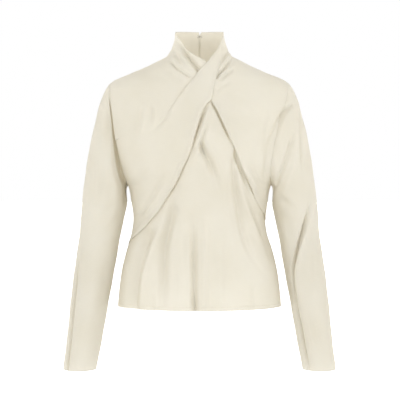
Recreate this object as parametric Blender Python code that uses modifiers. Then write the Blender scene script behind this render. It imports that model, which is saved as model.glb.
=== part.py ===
"""High neck top with a crossed, draped front and long sleeves, filled out as when it is worn.

Every cloth panel is a thin wall on one worn form. The form is a stack of rings, and each ring has a half
width, a front depth and a back depth. A place on it is an angle round the ring and a level down the form:
angle 0 is the centre front, 90 degrees the side on +X, 180 degrees the centre back. The front faces -Y.
The origin lies between the two neck points of the shoulders, where the wearer carries the top.
Left and right are those of someone who looks at the front, so left is -X.
"""

import math

import bmesh
import bpy
import numpy as np
from mathutils import Matrix, Vector

CLOTH = 0.0010
HALF_SEAM = 0.00022
ROLL = 0.0030
ARMHOLE_GAP = 0.0015
COLLAR_TOP = 0.055
BACK_COLLAR_RISE = 0.005
BACK_RISE_FOOT = -0.02
HEM = -0.547
ARMHOLE_TOP = -0.056
UNDERARM = -0.281
SLEEVE_SET = -0.335
CUFF = -0.682
NOTCH_FOOT = 0.0480
NOTCH_HALF_WIDTH = 0.0030

# Heights and depths of the panel edges at the side seams and the neck sides.
LEFT_SIDE_EDGE = -0.412
RIGHT_SIDE_EDGE = -0.360
LAP = 0.011
STRAP_FOOT = 0.022
RIGHT_NECK_FOOT = 0.006
JOIN_HEIGHT = -0.185

# Lift of each panel from the form where panels lie on each other.
LOWER_SINK = -0.0016
UNDER_LIFT = 0.0008
OVER_LIFT = 0.0028
UNDERARM_EDGE_LIFT = 0.0014

# Shares of the strap's and bust's length: where the strap has lifted off the collar, and how much of the
# pleat has its full height.
STRAP_LIFTED = 0.16
PLEAT_FULL = 0.78

# Folds die out over this length beside the side seams and the armholes.
SEAM_FADE = 0.016

# Sideways runs count for this share in the length down the form's outline.
SIDEWAYS_SHARE = 0.8

BODY = {
    "height": (0.055, 0.040, 0.022, 0.0095, 0.0015, -0.0035, -0.0058, -0.013, -0.0194, -0.037, -0.0546, -0.0735,
               -0.099, -0.140, -0.185, -0.215, -0.243, -0.262, -0.281, -0.296, -0.318, -0.354, -0.385,
               -0.420, -0.460, -0.500, -0.547),
    "half_width": (0.0520, 0.0540, 0.0590, 0.0650, 0.0700, 0.0760, 0.0805, 0.0960, 0.1090, 0.1485, 0.1895,
                   0.2060, 0.2100, 0.2010, 0.1935, 0.1860, 0.1765, 0.1675, 0.1570, 0.1525, 0.1490,
                   0.1445, 0.1480, 0.1590, 0.1690, 0.1750, 0.1795),
    "front": (0.0600, 0.0615, 0.0640, 0.0660, 0.0670, 0.0685, 0.0690, 0.0715, 0.0740, 0.0805, 0.0870,
              0.0950, 0.1060, 0.1210, 0.1320, 0.1320, 0.1290, 0.1250, 0.1205, 0.1150, 0.1080,
              0.1010, 0.1020, 0.1065, 0.1130, 0.1185, 0.1220),
    "back": (0.0520, 0.0545, 0.0590, 0.0625, 0.0650, 0.0665, 0.0675, 0.0700, 0.0725, 0.0790, 0.0840,
             0.0890, 0.0950, 0.1010, 0.1050, 0.1050, 0.1020, 0.0990, 0.0960, 0.0935, 0.0900,
             0.0860, 0.0885, 0.0950, 0.1045, 0.1115, 0.1165),
}

# Half width of the body at the armhole seam, by height, on each side.
ARMHOLE = {
    -1: {
        "height": (-0.056, -0.080, -0.123, -0.176, -0.215, -0.243, -0.263, -0.281),
        "half_width": (0.1920, 0.1945, 0.1900, 0.1830, 0.1755, 0.1690, 0.1635, 0.1570),
    },
    1: {
        "height": (-0.056, -0.080, -0.114, -0.150, -0.196, -0.239, -0.263, -0.281),
        "half_width": (0.1920, 0.1905, 0.1830, 0.1720, 0.1600, 0.1530, 0.1530, 0.1570),
    },
}

# How the sleeve's lines leave the armhole: the shares out, forward and down of their direction, then how
# far they hold it. A pair is for the shoulder and the underarm. Last is how far they follow the first ring.
LEAVE_OUT = 0.90
LEAVE_FORWARD = 0.30
LEAVE_DOWN = (0.41, 0.86)
LEAVE_REACH = (0.030, 0.018)
RING_REACH = 0.45
RING_STEP = 0.02

# Sleeve rings below the upper arm: centre out from the body, half width, centre forward, half depth.
SLEEVE = {
    "height": (-0.335, -0.403, -0.473, -0.543, -0.614, -0.682),
    "out": (0.2105, 0.2210, 0.2320, 0.2420, 0.2510, 0.2610),
    "half_width": (0.0485, 0.0445, 0.0438, 0.0412, 0.0385, 0.0356),
    "centre": (0.0040, 0.0040, 0.0000, -0.0080, -0.0180, -0.0280),
    "half_depth": (0.0580, 0.0540, 0.0510, 0.0480, 0.0450, 0.0415),
}

# The front view is seen from this far in front of the origin, at this height.
VIEW_DISTANCE = 2.70
VIEW_HEIGHT = -0.315

# Front view lines, as places out from the centre and heights, as they show on the plane y = 0. The strap is
# the part of the left front that crosses the throat to the right side of the collar.
STRAP_TOP_EDGE = ((0.0465, 0.036), (0.0385, 0.018), (0.0330, 0.0105), (0.0240, -0.0018), (0.0185, -0.0100),
                  (0.0130, -0.0150), (-0.0007, -0.0300), (-0.0112, -0.0440), (-0.0253, -0.0598),
                  (-0.0464, -0.0880), (-0.0600, -0.1075), (-0.0715, -0.1220))
JOIN_LINE = ((-0.0715, -0.122), (-0.1050, -0.140), (-0.1420, -0.162))
STRAP_LOW_EDGE = ((0.0480, -0.004), (0.0390, -0.034), (0.0325, -0.064), (0.0275, -0.0905), (0.0165, -0.102),
                  (0.0070, -0.117), (-0.0050, -0.153), (-0.0140, -0.184))
BUST_LOW_EDGE = ((-0.0140, -0.184), (-0.0205, -0.208), (-0.0360, -0.241), (-0.0505, -0.274),
                 (-0.0690, -0.304), (-0.0855, -0.333), (-0.1090, -0.362), (-0.1272, -0.388))
NECKLINE_LEFT = ((-0.0430, 0.036), (-0.0320, 0.019), (-0.0183, 0.0106), (-0.0042, 0.0018), (0.0085, -0.0053),
                 (0.0180, -0.0115), (0.0290, -0.017))
HIDDEN_LEFT = ((0.0290, -0.017), (0.0160, -0.040), (-0.0010, -0.055), (-0.0200, -0.0690), (-0.0330, -0.0790),
               (-0.0450, -0.0900), (-0.0560, -0.1025), (-0.0715, -0.122))
HIDDEN_RIGHT = ((0.0400, -0.010), (0.0310, -0.036), (0.0260, -0.064), (0.0248, -0.084), (0.0262, -0.095))
RIGHT_EDGE = ((0.0262, -0.095), (0.0380, -0.114), (0.0504, -0.141), (0.0627, -0.167), (0.0750, -0.1935),
              (0.0830, -0.213), (0.0965, -0.248), (0.1130, -0.285), (0.1290, -0.324))
LOWER_TOP_LEFT = ((-0.1358, -0.381), (-0.1176, -0.355), (-0.0941, -0.326), (-0.0776, -0.297),
                  (-0.0600, -0.269), (-0.0460, -0.2365), (-0.0308, -0.205), (-0.0245, -0.181),
                  (-0.0155, -0.150), (-0.0035, -0.1135), (0.0220, -0.084))
LOWER_TOP_RIGHT = ((0.0220, -0.084), (0.0465, -0.1095), (0.0590, -0.136), (0.0715, -0.1625),
                   (0.0840, -0.189), (0.0925, -0.209), (0.1060, -0.244), (0.1225, -0.281), (0.1375, -0.318))

# Folds of the fronts: three places along each crease, its half width and its depth, outward where positive.
FRONT_LEFT_FOLDS = {
    "start": ((-0.050, 0.034), (-0.053, 0.016), (-0.060, -0.010), (-0.130, -0.108)),
    "middle": ((-0.026, -0.002), (-0.042, -0.005), (-0.044, -0.028), (-0.132, -0.160)),
    "end": ((-0.002, -0.030), (-0.016, -0.030), (-0.022, -0.042), (-0.148, -0.215)),
    "half_width": (0.0055, 0.0060, 0.0060, 0.0200),
    "depth": (-0.0030, -0.0022, -0.0022, -0.0040),
}
FRONT_RIGHT_FOLDS = {
    "start": ((0.042, -0.042), (0.044, -0.056)),
    "middle": ((0.054, -0.026), (0.056, -0.048)),
    "end": ((0.068, -0.008), (0.074, -0.034)),
    "half_width": (0.0060, 0.0070),
    "depth": (-0.0026, -0.0024),
}
FRONT_LOWER_FOLDS = {
    "start": ((0.000, -0.190), (0.074, -0.225), (-0.013, -0.320), (-0.058, -0.345), (-0.070, -0.345)),
    "middle": ((0.022, -0.245), (0.086, -0.320), (-0.014, -0.430), (-0.076, -0.430), (-0.105, -0.430)),
    "end": ((0.038, -0.310), (0.118, -0.445), (-0.010, -0.560), (-0.068, -0.535), (-0.130, -0.560)),
    "half_width": (0.0110, 0.0130, 0.0130, 0.0170, 0.0160),
    "depth": (-0.0050, -0.0060, -0.0060, -0.0060, 0.0050),
}
# Sleeve folds: angle from the outer line towards the front, in degrees, and height, at both ends. They are
# laid out flat on a tube of this radius.
ARM_RADIUS = 0.045
SLEEVE_FOLDS = {
    -1: {
        "start": ((75.0, -0.150), (15.0, -0.400)),
        "end": ((70.0, -0.330), (25.0, -0.620)),
        "half_width": (0.012, 0.010),
        "depth": (-0.0030, -0.0030),
    },
    1: {
        "start": ((20.0, -0.290), (80.0, -0.130)),
        "end": ((140.0, -0.560), (100.0, -0.250)),
        "half_width": (0.012, 0.014),
        "depth": (-0.0050, -0.0040),
    },
}

# Zip slider and its pull, and the hook and eye, at the centre back.
SLIDER_HEIGHT = 0.031
SLIDER_SIZE = (0.0046, 0.0090, 0.0016)
SLIDER_STANDOFF = 0.0006
SLIDER_ROUNDING = 0.0004
BRIDGE_INNER_HEIGHT = 0.0017
BRIDGE_HALF_LENGTH = 0.0024
BRIDGE_RADIUS = 0.0005
PULL_THICKNESS = 0.0008
PULL_LENGTH = 0.0200
PULL_HALF_WIDTH = 0.0019
PULL_WAIST_HALF_WIDTH = 0.0013
PULL_EYE_RIM = 0.0010
PULL_TAPER = 0.0040
PULL_HOLE_HALF_WIDTH = 0.0010
PULL_HOLE_LENGTH = 0.0036
WIRE_RADIUS = 0.00035
HOOK_STANDOFF = 0.0008
HOOK_CLEARANCE = 0.0004
HOOK_HEIGHT = 0.0452

MATERIALS = {
    "satin": ((0.83, 0.79, 0.68, 1.0), 0.42, 0.0),
    "enamelled_metal": ((0.80, 0.77, 0.68, 1.0), 0.35, 0.6),
    "nickel": ((0.62, 0.61, 0.58, 1.0), 0.30, 1.0),
}


def smooth(at, table, column):
    """A curve through a table's rows that never overshoots them: cubic pieces with limited slopes."""
    order = np.argsort(table["height"])
    x = np.asarray(table["height"], float)[order]
    y = np.asarray(table[column], float)[order]
    step, slope = np.diff(x), np.diff(y) / np.diff(x)
    tangent = np.concatenate([slope[:1], np.zeros(len(x) - 2), slope[-1:]])
    turning = slope[:-1] * slope[1:] <= 0
    safe = np.where(turning, 1.0, slope[:-1]), np.where(turning, 1.0, slope[1:])
    first, second = 2 * step[1:] + step[:-1], step[1:] + 2 * step[:-1]
    mean = (first + second) / (first / safe[0] + second / safe[1])
    tangent[1:-1] = np.where(turning, 0.0, mean)
    at = np.clip(np.asarray(at, float), x[0], x[-1])
    i = np.clip(np.searchsorted(x, at) - 1, 0, len(x) - 2)
    t = (at - x[i]) / step[i]
    return (
        y[i] * (1 + 2 * t) * (1 - t) ** 2
        + step[i] * tangent[i] * t * (1 - t) ** 2
        + y[i + 1] * t * t * (3 - 2 * t)
        + step[i] * tangent[i + 1] * t * t * (t - 1)
    )


# A level is the length down the form's outline, so that levels are as far apart on the shoulder as below.
OUTLINE_HEIGHTS = np.linspace(COLLAR_TOP, HEM, 900)
OUTLINE_LEVELS = np.concatenate([
    [0.0],
    np.cumsum(np.hypot(
        np.diff(OUTLINE_HEIGHTS),
        SIDEWAYS_SHARE * np.diff(smooth(OUTLINE_HEIGHTS, BODY, "half_width")),
    )),
])
LAST_LEVEL = OUTLINE_LEVELS[-1]


def height_of(level):
    return np.interp(level, OUTLINE_LEVELS, OUTLINE_HEIGHTS)


def level_of(height):
    return np.interp(-np.asarray(height, float), -OUTLINE_HEIGHTS, OUTLINE_LEVELS)


def form(places):
    """Points of the worn form at places (angle, level). The collar is a little higher at its back."""
    angle, height = places[..., 0], height_of(places[..., 1])
    facing = np.cos(angle)
    depth = np.where(facing > 0, smooth(height, BODY, "front"), smooth(height, BODY, "back"))
    rise = BACK_COLLAR_RISE * ease(-facing, 0.0, 1.0) * ease(height, BACK_RISE_FOOT, COLLAR_TOP)
    across = smooth(height, BODY, "half_width") * np.sin(angle)
    return np.stack([across, -depth * facing, height + rise], axis=-1)


def outward(places):
    """Unit normals of the form."""
    turn, drop = np.array([0.002, 0.0]), np.array([0.0, 0.0015])
    low, high = places - drop, places + drop
    low[..., 1] = np.clip(low[..., 1], 0, LAST_LEVEL)
    high[..., 1] = np.clip(high[..., 1], 0, LAST_LEVEL)
    normal = np.cross(form(high) - form(low), form(places + turn) - form(places - turn))
    return normal / np.linalg.norm(normal, axis=-1, keepdims=True)


def lifted(places, lift):
    return form(places) + outward(places) * np.asarray(lift)[..., None]


def place_of(across, height):
    """(angle, level) on the front where the form shows this spot of the front view."""
    x, z = across, height
    for _ in range(8):
        share = np.clip(x / smooth(z, BODY, "half_width"), -1, 1)
        scale = 1 - smooth(z, BODY, "front") * np.sqrt(1 - share**2) / VIEW_DISTANCE
        x, z = across * scale, VIEW_HEIGHT + (height - VIEW_HEIGHT) * scale
    return np.stack([np.arcsin(share), level_of(z)], axis=-1)


def side_angle(height, depth="front"):
    """Angle of a side seam's edge, half a seam's width short of the side."""
    return math.pi / 2 - HALF_SEAM / smooth(height, BODY, depth)


def side_places(side, top, foot, count):
    """Places down a front panel's side seam."""
    heights = height_of(np.linspace(level_of(top), level_of(foot), count))
    return np.stack([side * side_angle(heights), level_of(heights)], axis=-1)


def armhole_angle(side, height, depth="front"):
    share = smooth(height, ARMHOLE[side], "half_width") / smooth(height, BODY, "half_width")
    inside = (height <= ARMHOLE_TOP) & (height >= UNDERARM)
    return np.where(inside, np.arcsin(np.clip(share, 0, 1)), math.pi / 2).clip(0, side_angle(height, depth))


def outer_places(side, top, foot, count, depth="front"):
    """Places down a panel's outer edge: shoulder seam, armhole and side seam, with one at each corner."""
    corners = [top] + [height for height in (ARMHOLE_TOP, UNDERARM) if foot < height < top] + [foot]
    runs = []
    for start, end in zip(corners, corners[1:]):
        heights = start + (end - start) * np.linspace(0, 1, 200) ** 1.5
        angles = armhole_angle(side, heights, depth)
        runs.append(np.stack([side * angles, level_of(heights)], axis=-1))
    lengths = [np.linalg.norm(np.diff(form(run), axis=0), axis=1).sum() for run in runs]
    cells = [round((count - 1) * length / sum(lengths)) for length in lengths[:-1]]
    cells.append(count - 1 - sum(cells))
    pieces = [spaced(run, cell + 1) for run, cell in zip(runs, cells)]
    return np.concatenate([pieces[0]] + [piece[1:] for piece in pieces[1:]])


def spaced(places, count):
    """count places evenly spaced along a dense line of places, by their distance on the form."""
    run = np.concatenate([[0.0], np.cumsum(np.linalg.norm(np.diff(form(places), axis=0), axis=1))])
    at = np.linspace(0, run[-1], count)
    return np.stack([np.interp(at, run, places[:, k]) for k in range(2)], axis=-1)


def trace(line, count, start=None, end=None):
    """count places along a smooth line through front view points, between optional end places."""
    points = [place_of(across, height) for across, height in line]
    points = ([start] if start is not None else []) + points + ([end] if end is not None else [])
    points = np.array(points)
    run = np.concatenate([[0.0], np.cumsum(np.linalg.norm(np.diff(form(points), axis=0), axis=1))])
    dense = np.linspace(0, run[-1], 300)
    table = {"height": run, "angle": points[:, 0], "level": points[:, 1]}
    return spaced(np.stack([smooth(dense, table, "angle"), smooth(dense, table, "level")], axis=-1), count)


def filled(top, foot, first, last):
    """Places of a four-sided patch between its sampled edges, by transfinite interpolation."""
    u = np.linspace(0, 1, len(top))[None, :, None]
    v = np.linspace(0, 1, len(first))[:, None, None]
    corners = (1 - u) * (1 - v) * top[0] + u * (1 - v) * top[-1] + (1 - u) * v * foot[0] + u * v * foot[-1]
    return (1 - v) * top + v * foot + (1 - u) * first[:, None] + u * last[:, None] - corners


def ease(value, start, end):
    """0 before start, 1 after end, and smooth between."""
    t = np.clip((value - start) / (end - start), 0, 1)
    return t * t * (3 - 2 * t)


def fold_lift(flat, folds):
    """Lift from soft creases: each is a bell across its line, and dies out at both of its ends."""
    t = np.linspace(0, 1, 33)[:, None]
    lift = np.zeros(flat.shape[:-1])
    rows = zip(folds["start"], folds["middle"], folds["end"], folds["half_width"], folds["depth"])
    for start, middle, end, half_width, depth in rows:
        middle = 2 * np.array(middle) - (np.array(start) + np.array(end)) / 2
        path = (1 - t) ** 2 * start + 2 * t * (1 - t) * middle + t * t * end
        away = np.linalg.norm(flat[..., None, :] - path, axis=-1)
        nearest = away.argmin(axis=-1) / (len(path) - 1)
        fade = np.sin(math.pi * np.clip(nearest, 0, 1)) ** 0.6
        lift += depth * fade * np.exp(-((away.min(axis=-1) / half_width) ** 2))
    return lift


def front_view(places):
    """Where places show in the front view."""
    x, y, z = np.moveaxis(form(places), -1, 0)
    scale = 1 + y / VIEW_DISTANCE
    return np.stack([x / scale, VIEW_HEIGHT + (z - VIEW_HEIGHT) / scale], axis=-1)


def open_surface(name, grids, closed=False):
    """A mesh of one or more grids of points, welded where they share an edge."""
    mesh = bpy.data.meshes.new(name)
    shape = bmesh.new()
    for grid in grids:
        rows, columns = grid.shape[:2]
        points = [[shape.verts.new(grid[i, j]) for j in range(columns)] for i in range(rows)]
        for i in range(rows - 1):
            for j in range(columns if closed else columns - 1):
                k = (j + 1) % columns
                shape.faces.new((points[i][j], points[i][k], points[i + 1][k], points[i + 1][j]))
    bmesh.ops.remove_doubles(shape, verts=shape.verts, dist=1e-6)
    bmesh.ops.recalc_face_normals(shape, faces=shape.faces)
    shape.to_mesh(mesh)
    shape.free()
    return mesh


def material(name):
    found = bpy.data.materials.get(name) or bpy.data.materials.new(name)
    colour, roughness, metallic = MATERIALS[name]
    found.use_nodes = True
    shader = found.node_tree.nodes["Principled BSDF"]
    shader.inputs["Base Color"].default_value = colour
    shader.inputs["Roughness"].default_value = roughness
    shader.inputs["Metallic"].default_value = metallic
    return found


def add_object(name, data, finish, parent):
    data.materials.append(material(finish))
    made = bpy.data.objects.new(name, data)
    parts.objects.link(made)
    made.parent = parent
    return made


def cloth_panel(name, grids, closed=False):
    """A panel of cloth: an open surface given the wall's thickness, half to each side."""
    panel = add_object(name, open_surface(name, grids, closed), "satin", garment)
    wall = panel.modifiers.new("wall", "SOLIDIFY")
    wall.thickness = CLOTH
    wall.offset = 0.0
    panel.data.shade_smooth()
    return panel


def front_left():
    """Left front: shoulder, left side of the collar and bust, with the strap that crosses the throat.

    The shoulder sheet and the bust sheet share the join line. From its inner end the strap's edge lifts
    off as a pleat and laps over the shoulder sheet up to the throat.
    """
    strap, bust, across, down = 16, 9, 9, 17
    neck_side = np.array([-side_angle(COLLAR_TOP), 0.0])
    join_end = np.array([-armhole_angle(-1, np.float64(JOIN_HEIGHT)), level_of(JOIN_HEIGHT)])
    join = trace(JOIN_LINE, bust + 1, end=join_end)
    hidden = trace(HIDDEN_LEFT, down)
    outer = outer_places(-1, COLLAR_TOP, JOIN_HEIGHT, down)
    neckline = trace(NECKLINE_LEFT, bust + 1, start=neck_side)[::-1]
    shoulder = filled(neckline, join, hidden, outer)
    shoulder_lift = fold_lift(front_view(shoulder), FRONT_LEFT_FOLDS) * seam_fade(shoulder)

    collar_end = side_places(1, COLLAR_TOP, STRAP_FOOT, across)
    top_edge = np.concatenate([trace(STRAP_TOP_EDGE, strap + 1, start=collar_end[0]), join[1:]])
    side_foot = side_places(-1, UNDERARM, LEFT_SIDE_EDGE, 2)[-1]
    low_edge = np.concatenate([
        trace(STRAP_LOW_EDGE, strap + 1, start=collar_end[-1]),
        trace(BUST_LOW_EDGE, bust + 1, end=side_foot)[1:],
    ])
    side = outer_places(-1, JOIN_HEIGHT, LEFT_SIDE_EDGE, across)
    band = filled(top_edge, low_edge, collar_end, side)
    u = np.linspace(0, 1, strap + bust + 1)[None, :]
    v = np.linspace(0, 1, across)[:, None]
    pleat_end = strap / (strap + bust)
    past_pleat = ease(u, PLEAT_FULL * pleat_end, pleat_end)
    strap_lift = ease(u, 0.0, STRAP_LIFTED) * (1 - past_pleat)
    edge_lift = ease(u, 0.0, STRAP_LIFTED) * ease(v, 0.30, 0.95) * (1 - 0.75 * ease(u, 0.85, 1.0))
    lift = OVER_LIFT * np.maximum(strap_lift, edge_lift)
    lift += ROLL * np.sin(math.pi * v) * ease(u, 0.0, 0.2) * (1 - ease(u, 0.5 * pleat_end, pleat_end))
    lift += fold_lift(front_view(band), FRONT_LEFT_FOLDS) * seam_fade(band) * past_pleat
    cloth_panel("front_left", [lifted(shoulder, shoulder_lift), lifted(band, lift)])


def seam_fade(places):
    """1 away from the side seams and the armholes, 0 on them."""
    height = height_of(places[..., 1])
    side = np.where(places[..., 0] < 0, -1, 1)
    reach = np.where(side < 0, armhole_angle(-1, height), armhole_angle(1, height))
    return ease((reach - np.abs(places[..., 0])) * smooth(height, BODY, "front"), 0.0, SEAM_FADE)


def front_right():
    """Right front: its gathered neck passes under the strap, and its long edge laps over the lower front."""
    across, under, edge = 12, 9, 16
    neck = side_places(1, STRAP_FOOT - 2 * HALF_SEAM, RIGHT_NECK_FOOT, across)
    foot = side_places(1, UNDERARM, RIGHT_SIDE_EDGE, across)[::-1]
    inner = np.concatenate([
        trace(HIDDEN_RIGHT, under + 1, start=neck[0]),
        trace(RIGHT_EDGE, edge + 1, end=foot[0])[1:],
    ])
    outer = outer_places(1, RIGHT_NECK_FOOT, UNDERARM, under + edge + 1)
    sheet = filled(neck, foot, inner, outer)
    v = np.linspace(0, 1, under + edge + 1)[:, None]
    u = np.linspace(0, 1, across)[None, :]
    lift = UNDER_LIFT * (1 - ease(u, 0.3, 0.9)) * ease(v, 0.02, 0.12)
    lift = lift + fold_lift(front_view(sheet), FRONT_RIGHT_FOLDS) * seam_fade(sheet)
    lift = lift + UNDERARM_EDGE_LIFT * (1 - ease(u, 0.0, 0.8)) * ease(v, 0.85, 1.0)
    cloth_panel("front_right", [lifted(sheet, lift)])


def front_lower():
    """Lower front: hem, side seams, and a pointed top that lies under both bust edges."""
    half, down = 13, 15
    left_top, right_top = LEFT_SIDE_EDGE + LAP, RIGHT_SIDE_EDGE + LAP
    left = side_places(-1, left_top, HEM, down)
    right = side_places(1, right_top, HEM, down)
    top = np.concatenate([
        trace(LOWER_TOP_LEFT, half + 2, start=left[0]),
        trace(LOWER_TOP_RIGHT, half, end=right[0])[1:],
    ])
    hem_angles = np.linspace(left[-1, 0], right[-1, 0], len(top))
    hem = np.stack([hem_angles, np.full(len(top), LAST_LEVEL)], axis=-1)
    sheet = filled(top, hem, left, right)
    v = np.linspace(0, 1, down)[:, None]
    folds = fold_lift(front_view(sheet), FRONT_LOWER_FOLDS) * seam_fade(sheet)
    lift = LOWER_SINK * (1 - ease(v, 0.05, 0.5)) + folds * ease(v, 0.06, 0.3)
    cloth_panel("front_lower", [lifted(sheet, lift)])


def back(side, name):
    """One back: centre back edge with its neck notch, hem, side seam, armhole and shoulder seam."""
    down, across = 37, 11
    outer = outer_places(side, COLLAR_TOP, HEM, down, "back")
    outer[:, 0] = side * math.pi - outer[:, 0]
    heights = height_of(np.concatenate([[0.0], np.linspace(level_of(NOTCH_FOOT), LAST_LEVEL, down - 1)]))
    notch = NOTCH_HALF_WIDTH * np.clip((heights - NOTCH_FOOT) / (COLLAR_TOP - NOTCH_FOOT), 0, 1)
    seam = (HALF_SEAM + notch * (1.6 if side > 0 else 0.4)) / smooth(heights, BODY, "half_width")
    inner = np.stack([side * (math.pi - seam), level_of(heights)], axis=-1)
    share = np.linspace(0, 1, across)[:, None]
    collar = inner[0] * (1 - share) + outer[0] * share
    hem = inner[-1] * (1 - share) + outer[-1] * share
    places = filled(collar, hem, inner, outer)
    cloth_panel(name, [lifted(places, np.zeros(places.shape[:2]))])


def armhole_loop(side, turn):
    """Points of the armhole seam. turn is 0 at the shoulder, 90 degrees at the front, 180 at the underarm."""
    middle, reach = (ARMHOLE_TOP + UNDERARM) / 2, (ARMHOLE_TOP - UNDERARM) / 2
    height = middle + reach * np.cos(turn)
    share = smooth(height, ARMHOLE[side], "half_width") / smooth(height, BODY, "half_width")
    angle = np.arcsin(np.clip(share, 0, 1))
    angle = np.where(np.sin(turn) >= 0, angle, math.pi - angle)
    return form(np.stack([side * angle, level_of(height)], axis=-1))


def sleeve_ring(side, turn, height):
    """Points of the sleeve's rings below the upper arm."""
    out = smooth(height, SLEEVE, "out") + smooth(height, SLEEVE, "half_width") * np.cos(turn)
    depth = smooth(height, SLEEVE, "centre") - smooth(height, SLEEVE, "half_depth") * np.sin(turn)
    return np.stack(np.broadcast_arrays(side * out, depth, height), axis=-1)


def sleeve(side, name):
    """A sleeve: lines run from the armhole seam, turn down over the upper arm, and follow the rings."""
    around, cap, arm = 28, 10, 13
    turn = np.linspace(0, 2 * math.pi, around, endpoint=False)[None, :]
    seam = armhole_loop(side, turn)
    low = (1 - np.cos(turn)) / 2
    down = LEAVE_DOWN[0] + (LEAVE_DOWN[1] - LEAVE_DOWN[0]) * low
    leave = np.stack([side * LEAVE_OUT * np.ones_like(turn), -LEAVE_FORWARD * np.sin(turn), -down], axis=-1)
    leave /= np.linalg.norm(leave, axis=-1, keepdims=True)
    ring = sleeve_ring(side, turn, np.float64(SLEEVE_SET))
    rise = ring - sleeve_ring(side, turn, np.float64(SLEEVE_SET - RING_STEP))
    rise /= np.linalg.norm(rise, axis=-1, keepdims=True)
    start = seam + leave * ARMHOLE_GAP
    chord = np.linalg.norm(ring - start, axis=-1, keepdims=True)
    reach = (LEAVE_REACH[0] + (LEAVE_REACH[1] - LEAVE_REACH[0]) * low)[..., None]
    t = np.linspace(0, 1, cap + 1)[:, None, None]
    upper = (
        (1 - t) ** 3 * start
        + 3 * t * (1 - t) ** 2 * (start + leave * reach)
        + 3 * t * t * (1 - t) * (ring + rise * RING_REACH * chord)
        + t**3 * ring
    )
    heights = np.linspace(SLEEVE_SET, CUFF, arm + 1)[1:, None]
    points = np.concatenate([upper, sleeve_ring(side, turn, heights)])
    axis = np.stack([side * smooth(points[..., 2], SLEEVE, "out"), smooth(points[..., 2], SLEEVE, "centre"),
                     points[..., 2]], axis=-1)
    away = points - axis
    away /= np.linalg.norm(away, axis=-1, keepdims=True)
    points += away * sleeve_fold_lift(side, turn, points[..., 2])[..., None]
    cloth_panel(name, [points], closed=True)


def sleeve_fold_lift(side, turn, height):
    """Lift from the sleeve's creases, flattened as the arc round the sleeve and the height."""
    folds = SLEEVE_FOLDS[side]
    arc = np.broadcast_to(np.where(turn > math.pi, turn - 2 * math.pi, turn) * ARM_RADIUS, height.shape)
    flat = np.stack([arc, height], axis=-1)
    ends = [[(math.radians(angle) * ARM_RADIUS, z) for angle, z in folds[key]] for key in ("start", "end")]
    middles = [tuple((a + b) / 2 for a, b in zip(*pair)) for pair in zip(*ends)]
    return fold_lift(flat, {**folds, "start": ends[0], "middle": middles, "end": ends[1]})


def centre_back_frame(height, lift):
    """Matrix whose X is across the centre back, Y up along the cloth and Z away from it."""
    place = np.array([math.pi, float(level_of(height))])
    normal = Vector(outward(place))
    up = normal.cross(Vector((-1, 0, 0))).normalized()
    point = Vector(form(place)) + normal * lift
    frame = Matrix((Vector((-1, 0, 0)), up, normal)).transposed().to_4x4()
    frame.translation = point
    return frame


def meshed(curve):
    """A curve's solid as a closed mesh, with its caps welded to its sides."""
    helper = bpy.data.objects.new("helper", curve)
    parts.objects.link(helper)
    graph = bpy.context.evaluated_depsgraph_get()
    mesh = bpy.data.meshes.new_from_object(helper.evaluated_get(graph))
    bpy.data.objects.remove(helper)
    shape = bmesh.new()
    shape.from_mesh(mesh)
    bmesh.ops.remove_doubles(shape, verts=shape.verts, dist=1e-6)
    bmesh.ops.recalc_face_normals(shape, faces=shape.faces)
    shape.to_mesh(mesh)
    shape.free()
    return mesh


def wire(name, points, radius):
    curve = bpy.data.curves.new(name, "CURVE")
    curve.dimensions = "3D"
    curve.bevel_depth = radius
    curve.bevel_resolution = 2
    curve.use_fill_caps = True
    spline = curve.splines.new("POLY")
    spline.points.add(len(points) - 1)
    for point, place in zip(spline.points, points):
        point.co = (*place, 1.0)
    return curve


def zip_slider():
    """Slider of the centre back zip: a bevelled block with the bridge that holds the pull."""
    width, length, thickness = SLIDER_SIZE
    frame = centre_back_frame(SLIDER_HEIGHT, CLOTH / 2 + SLIDER_STANDOFF)
    block = bmesh.new()
    bmesh.ops.create_cube(block, size=1.0)
    bmesh.ops.scale(block, vec=SLIDER_SIZE, verts=block.verts)
    bmesh.ops.translate(block, vec=(0, 0, thickness / 2), verts=block.verts)
    mesh = bpy.data.meshes.new("zip_slider")
    block.to_mesh(mesh)
    block.free()
    slider = add_object("zip_slider", mesh, "enamelled_metal", garment)
    slider.matrix_world = frame
    rounding = slider.modifiers.new("rounding", "BEVEL")
    rounding.width = SLIDER_ROUNDING
    rounding.segments = 2

    top = thickness + BRIDGE_INNER_HEIGHT + BRIDGE_RADIUS
    angles = np.linspace(0, math.pi, 9)
    arch = [(0, BRIDGE_HALF_LENGTH * math.cos(a), thickness + (top - thickness) * math.sin(a) ** 0.6)
            for a in angles]
    arch = [(0, BRIDGE_HALF_LENGTH, thickness / 2), *arch, (0, -BRIDGE_HALF_LENGTH, thickness / 2)]
    bridge_mesh = meshed(wire("bridge", arch, BRIDGE_RADIUS))
    bridge = bpy.data.objects.new("bridge_helper", bridge_mesh)
    helpers.objects.link(bridge)
    bridge.hide_render = True
    bridge.display_type = "WIRE"
    bridge.matrix_world = frame
    join = slider.modifiers.new("bridge", "BOOLEAN")
    join.operation = "UNION"
    join.object = bridge


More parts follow.
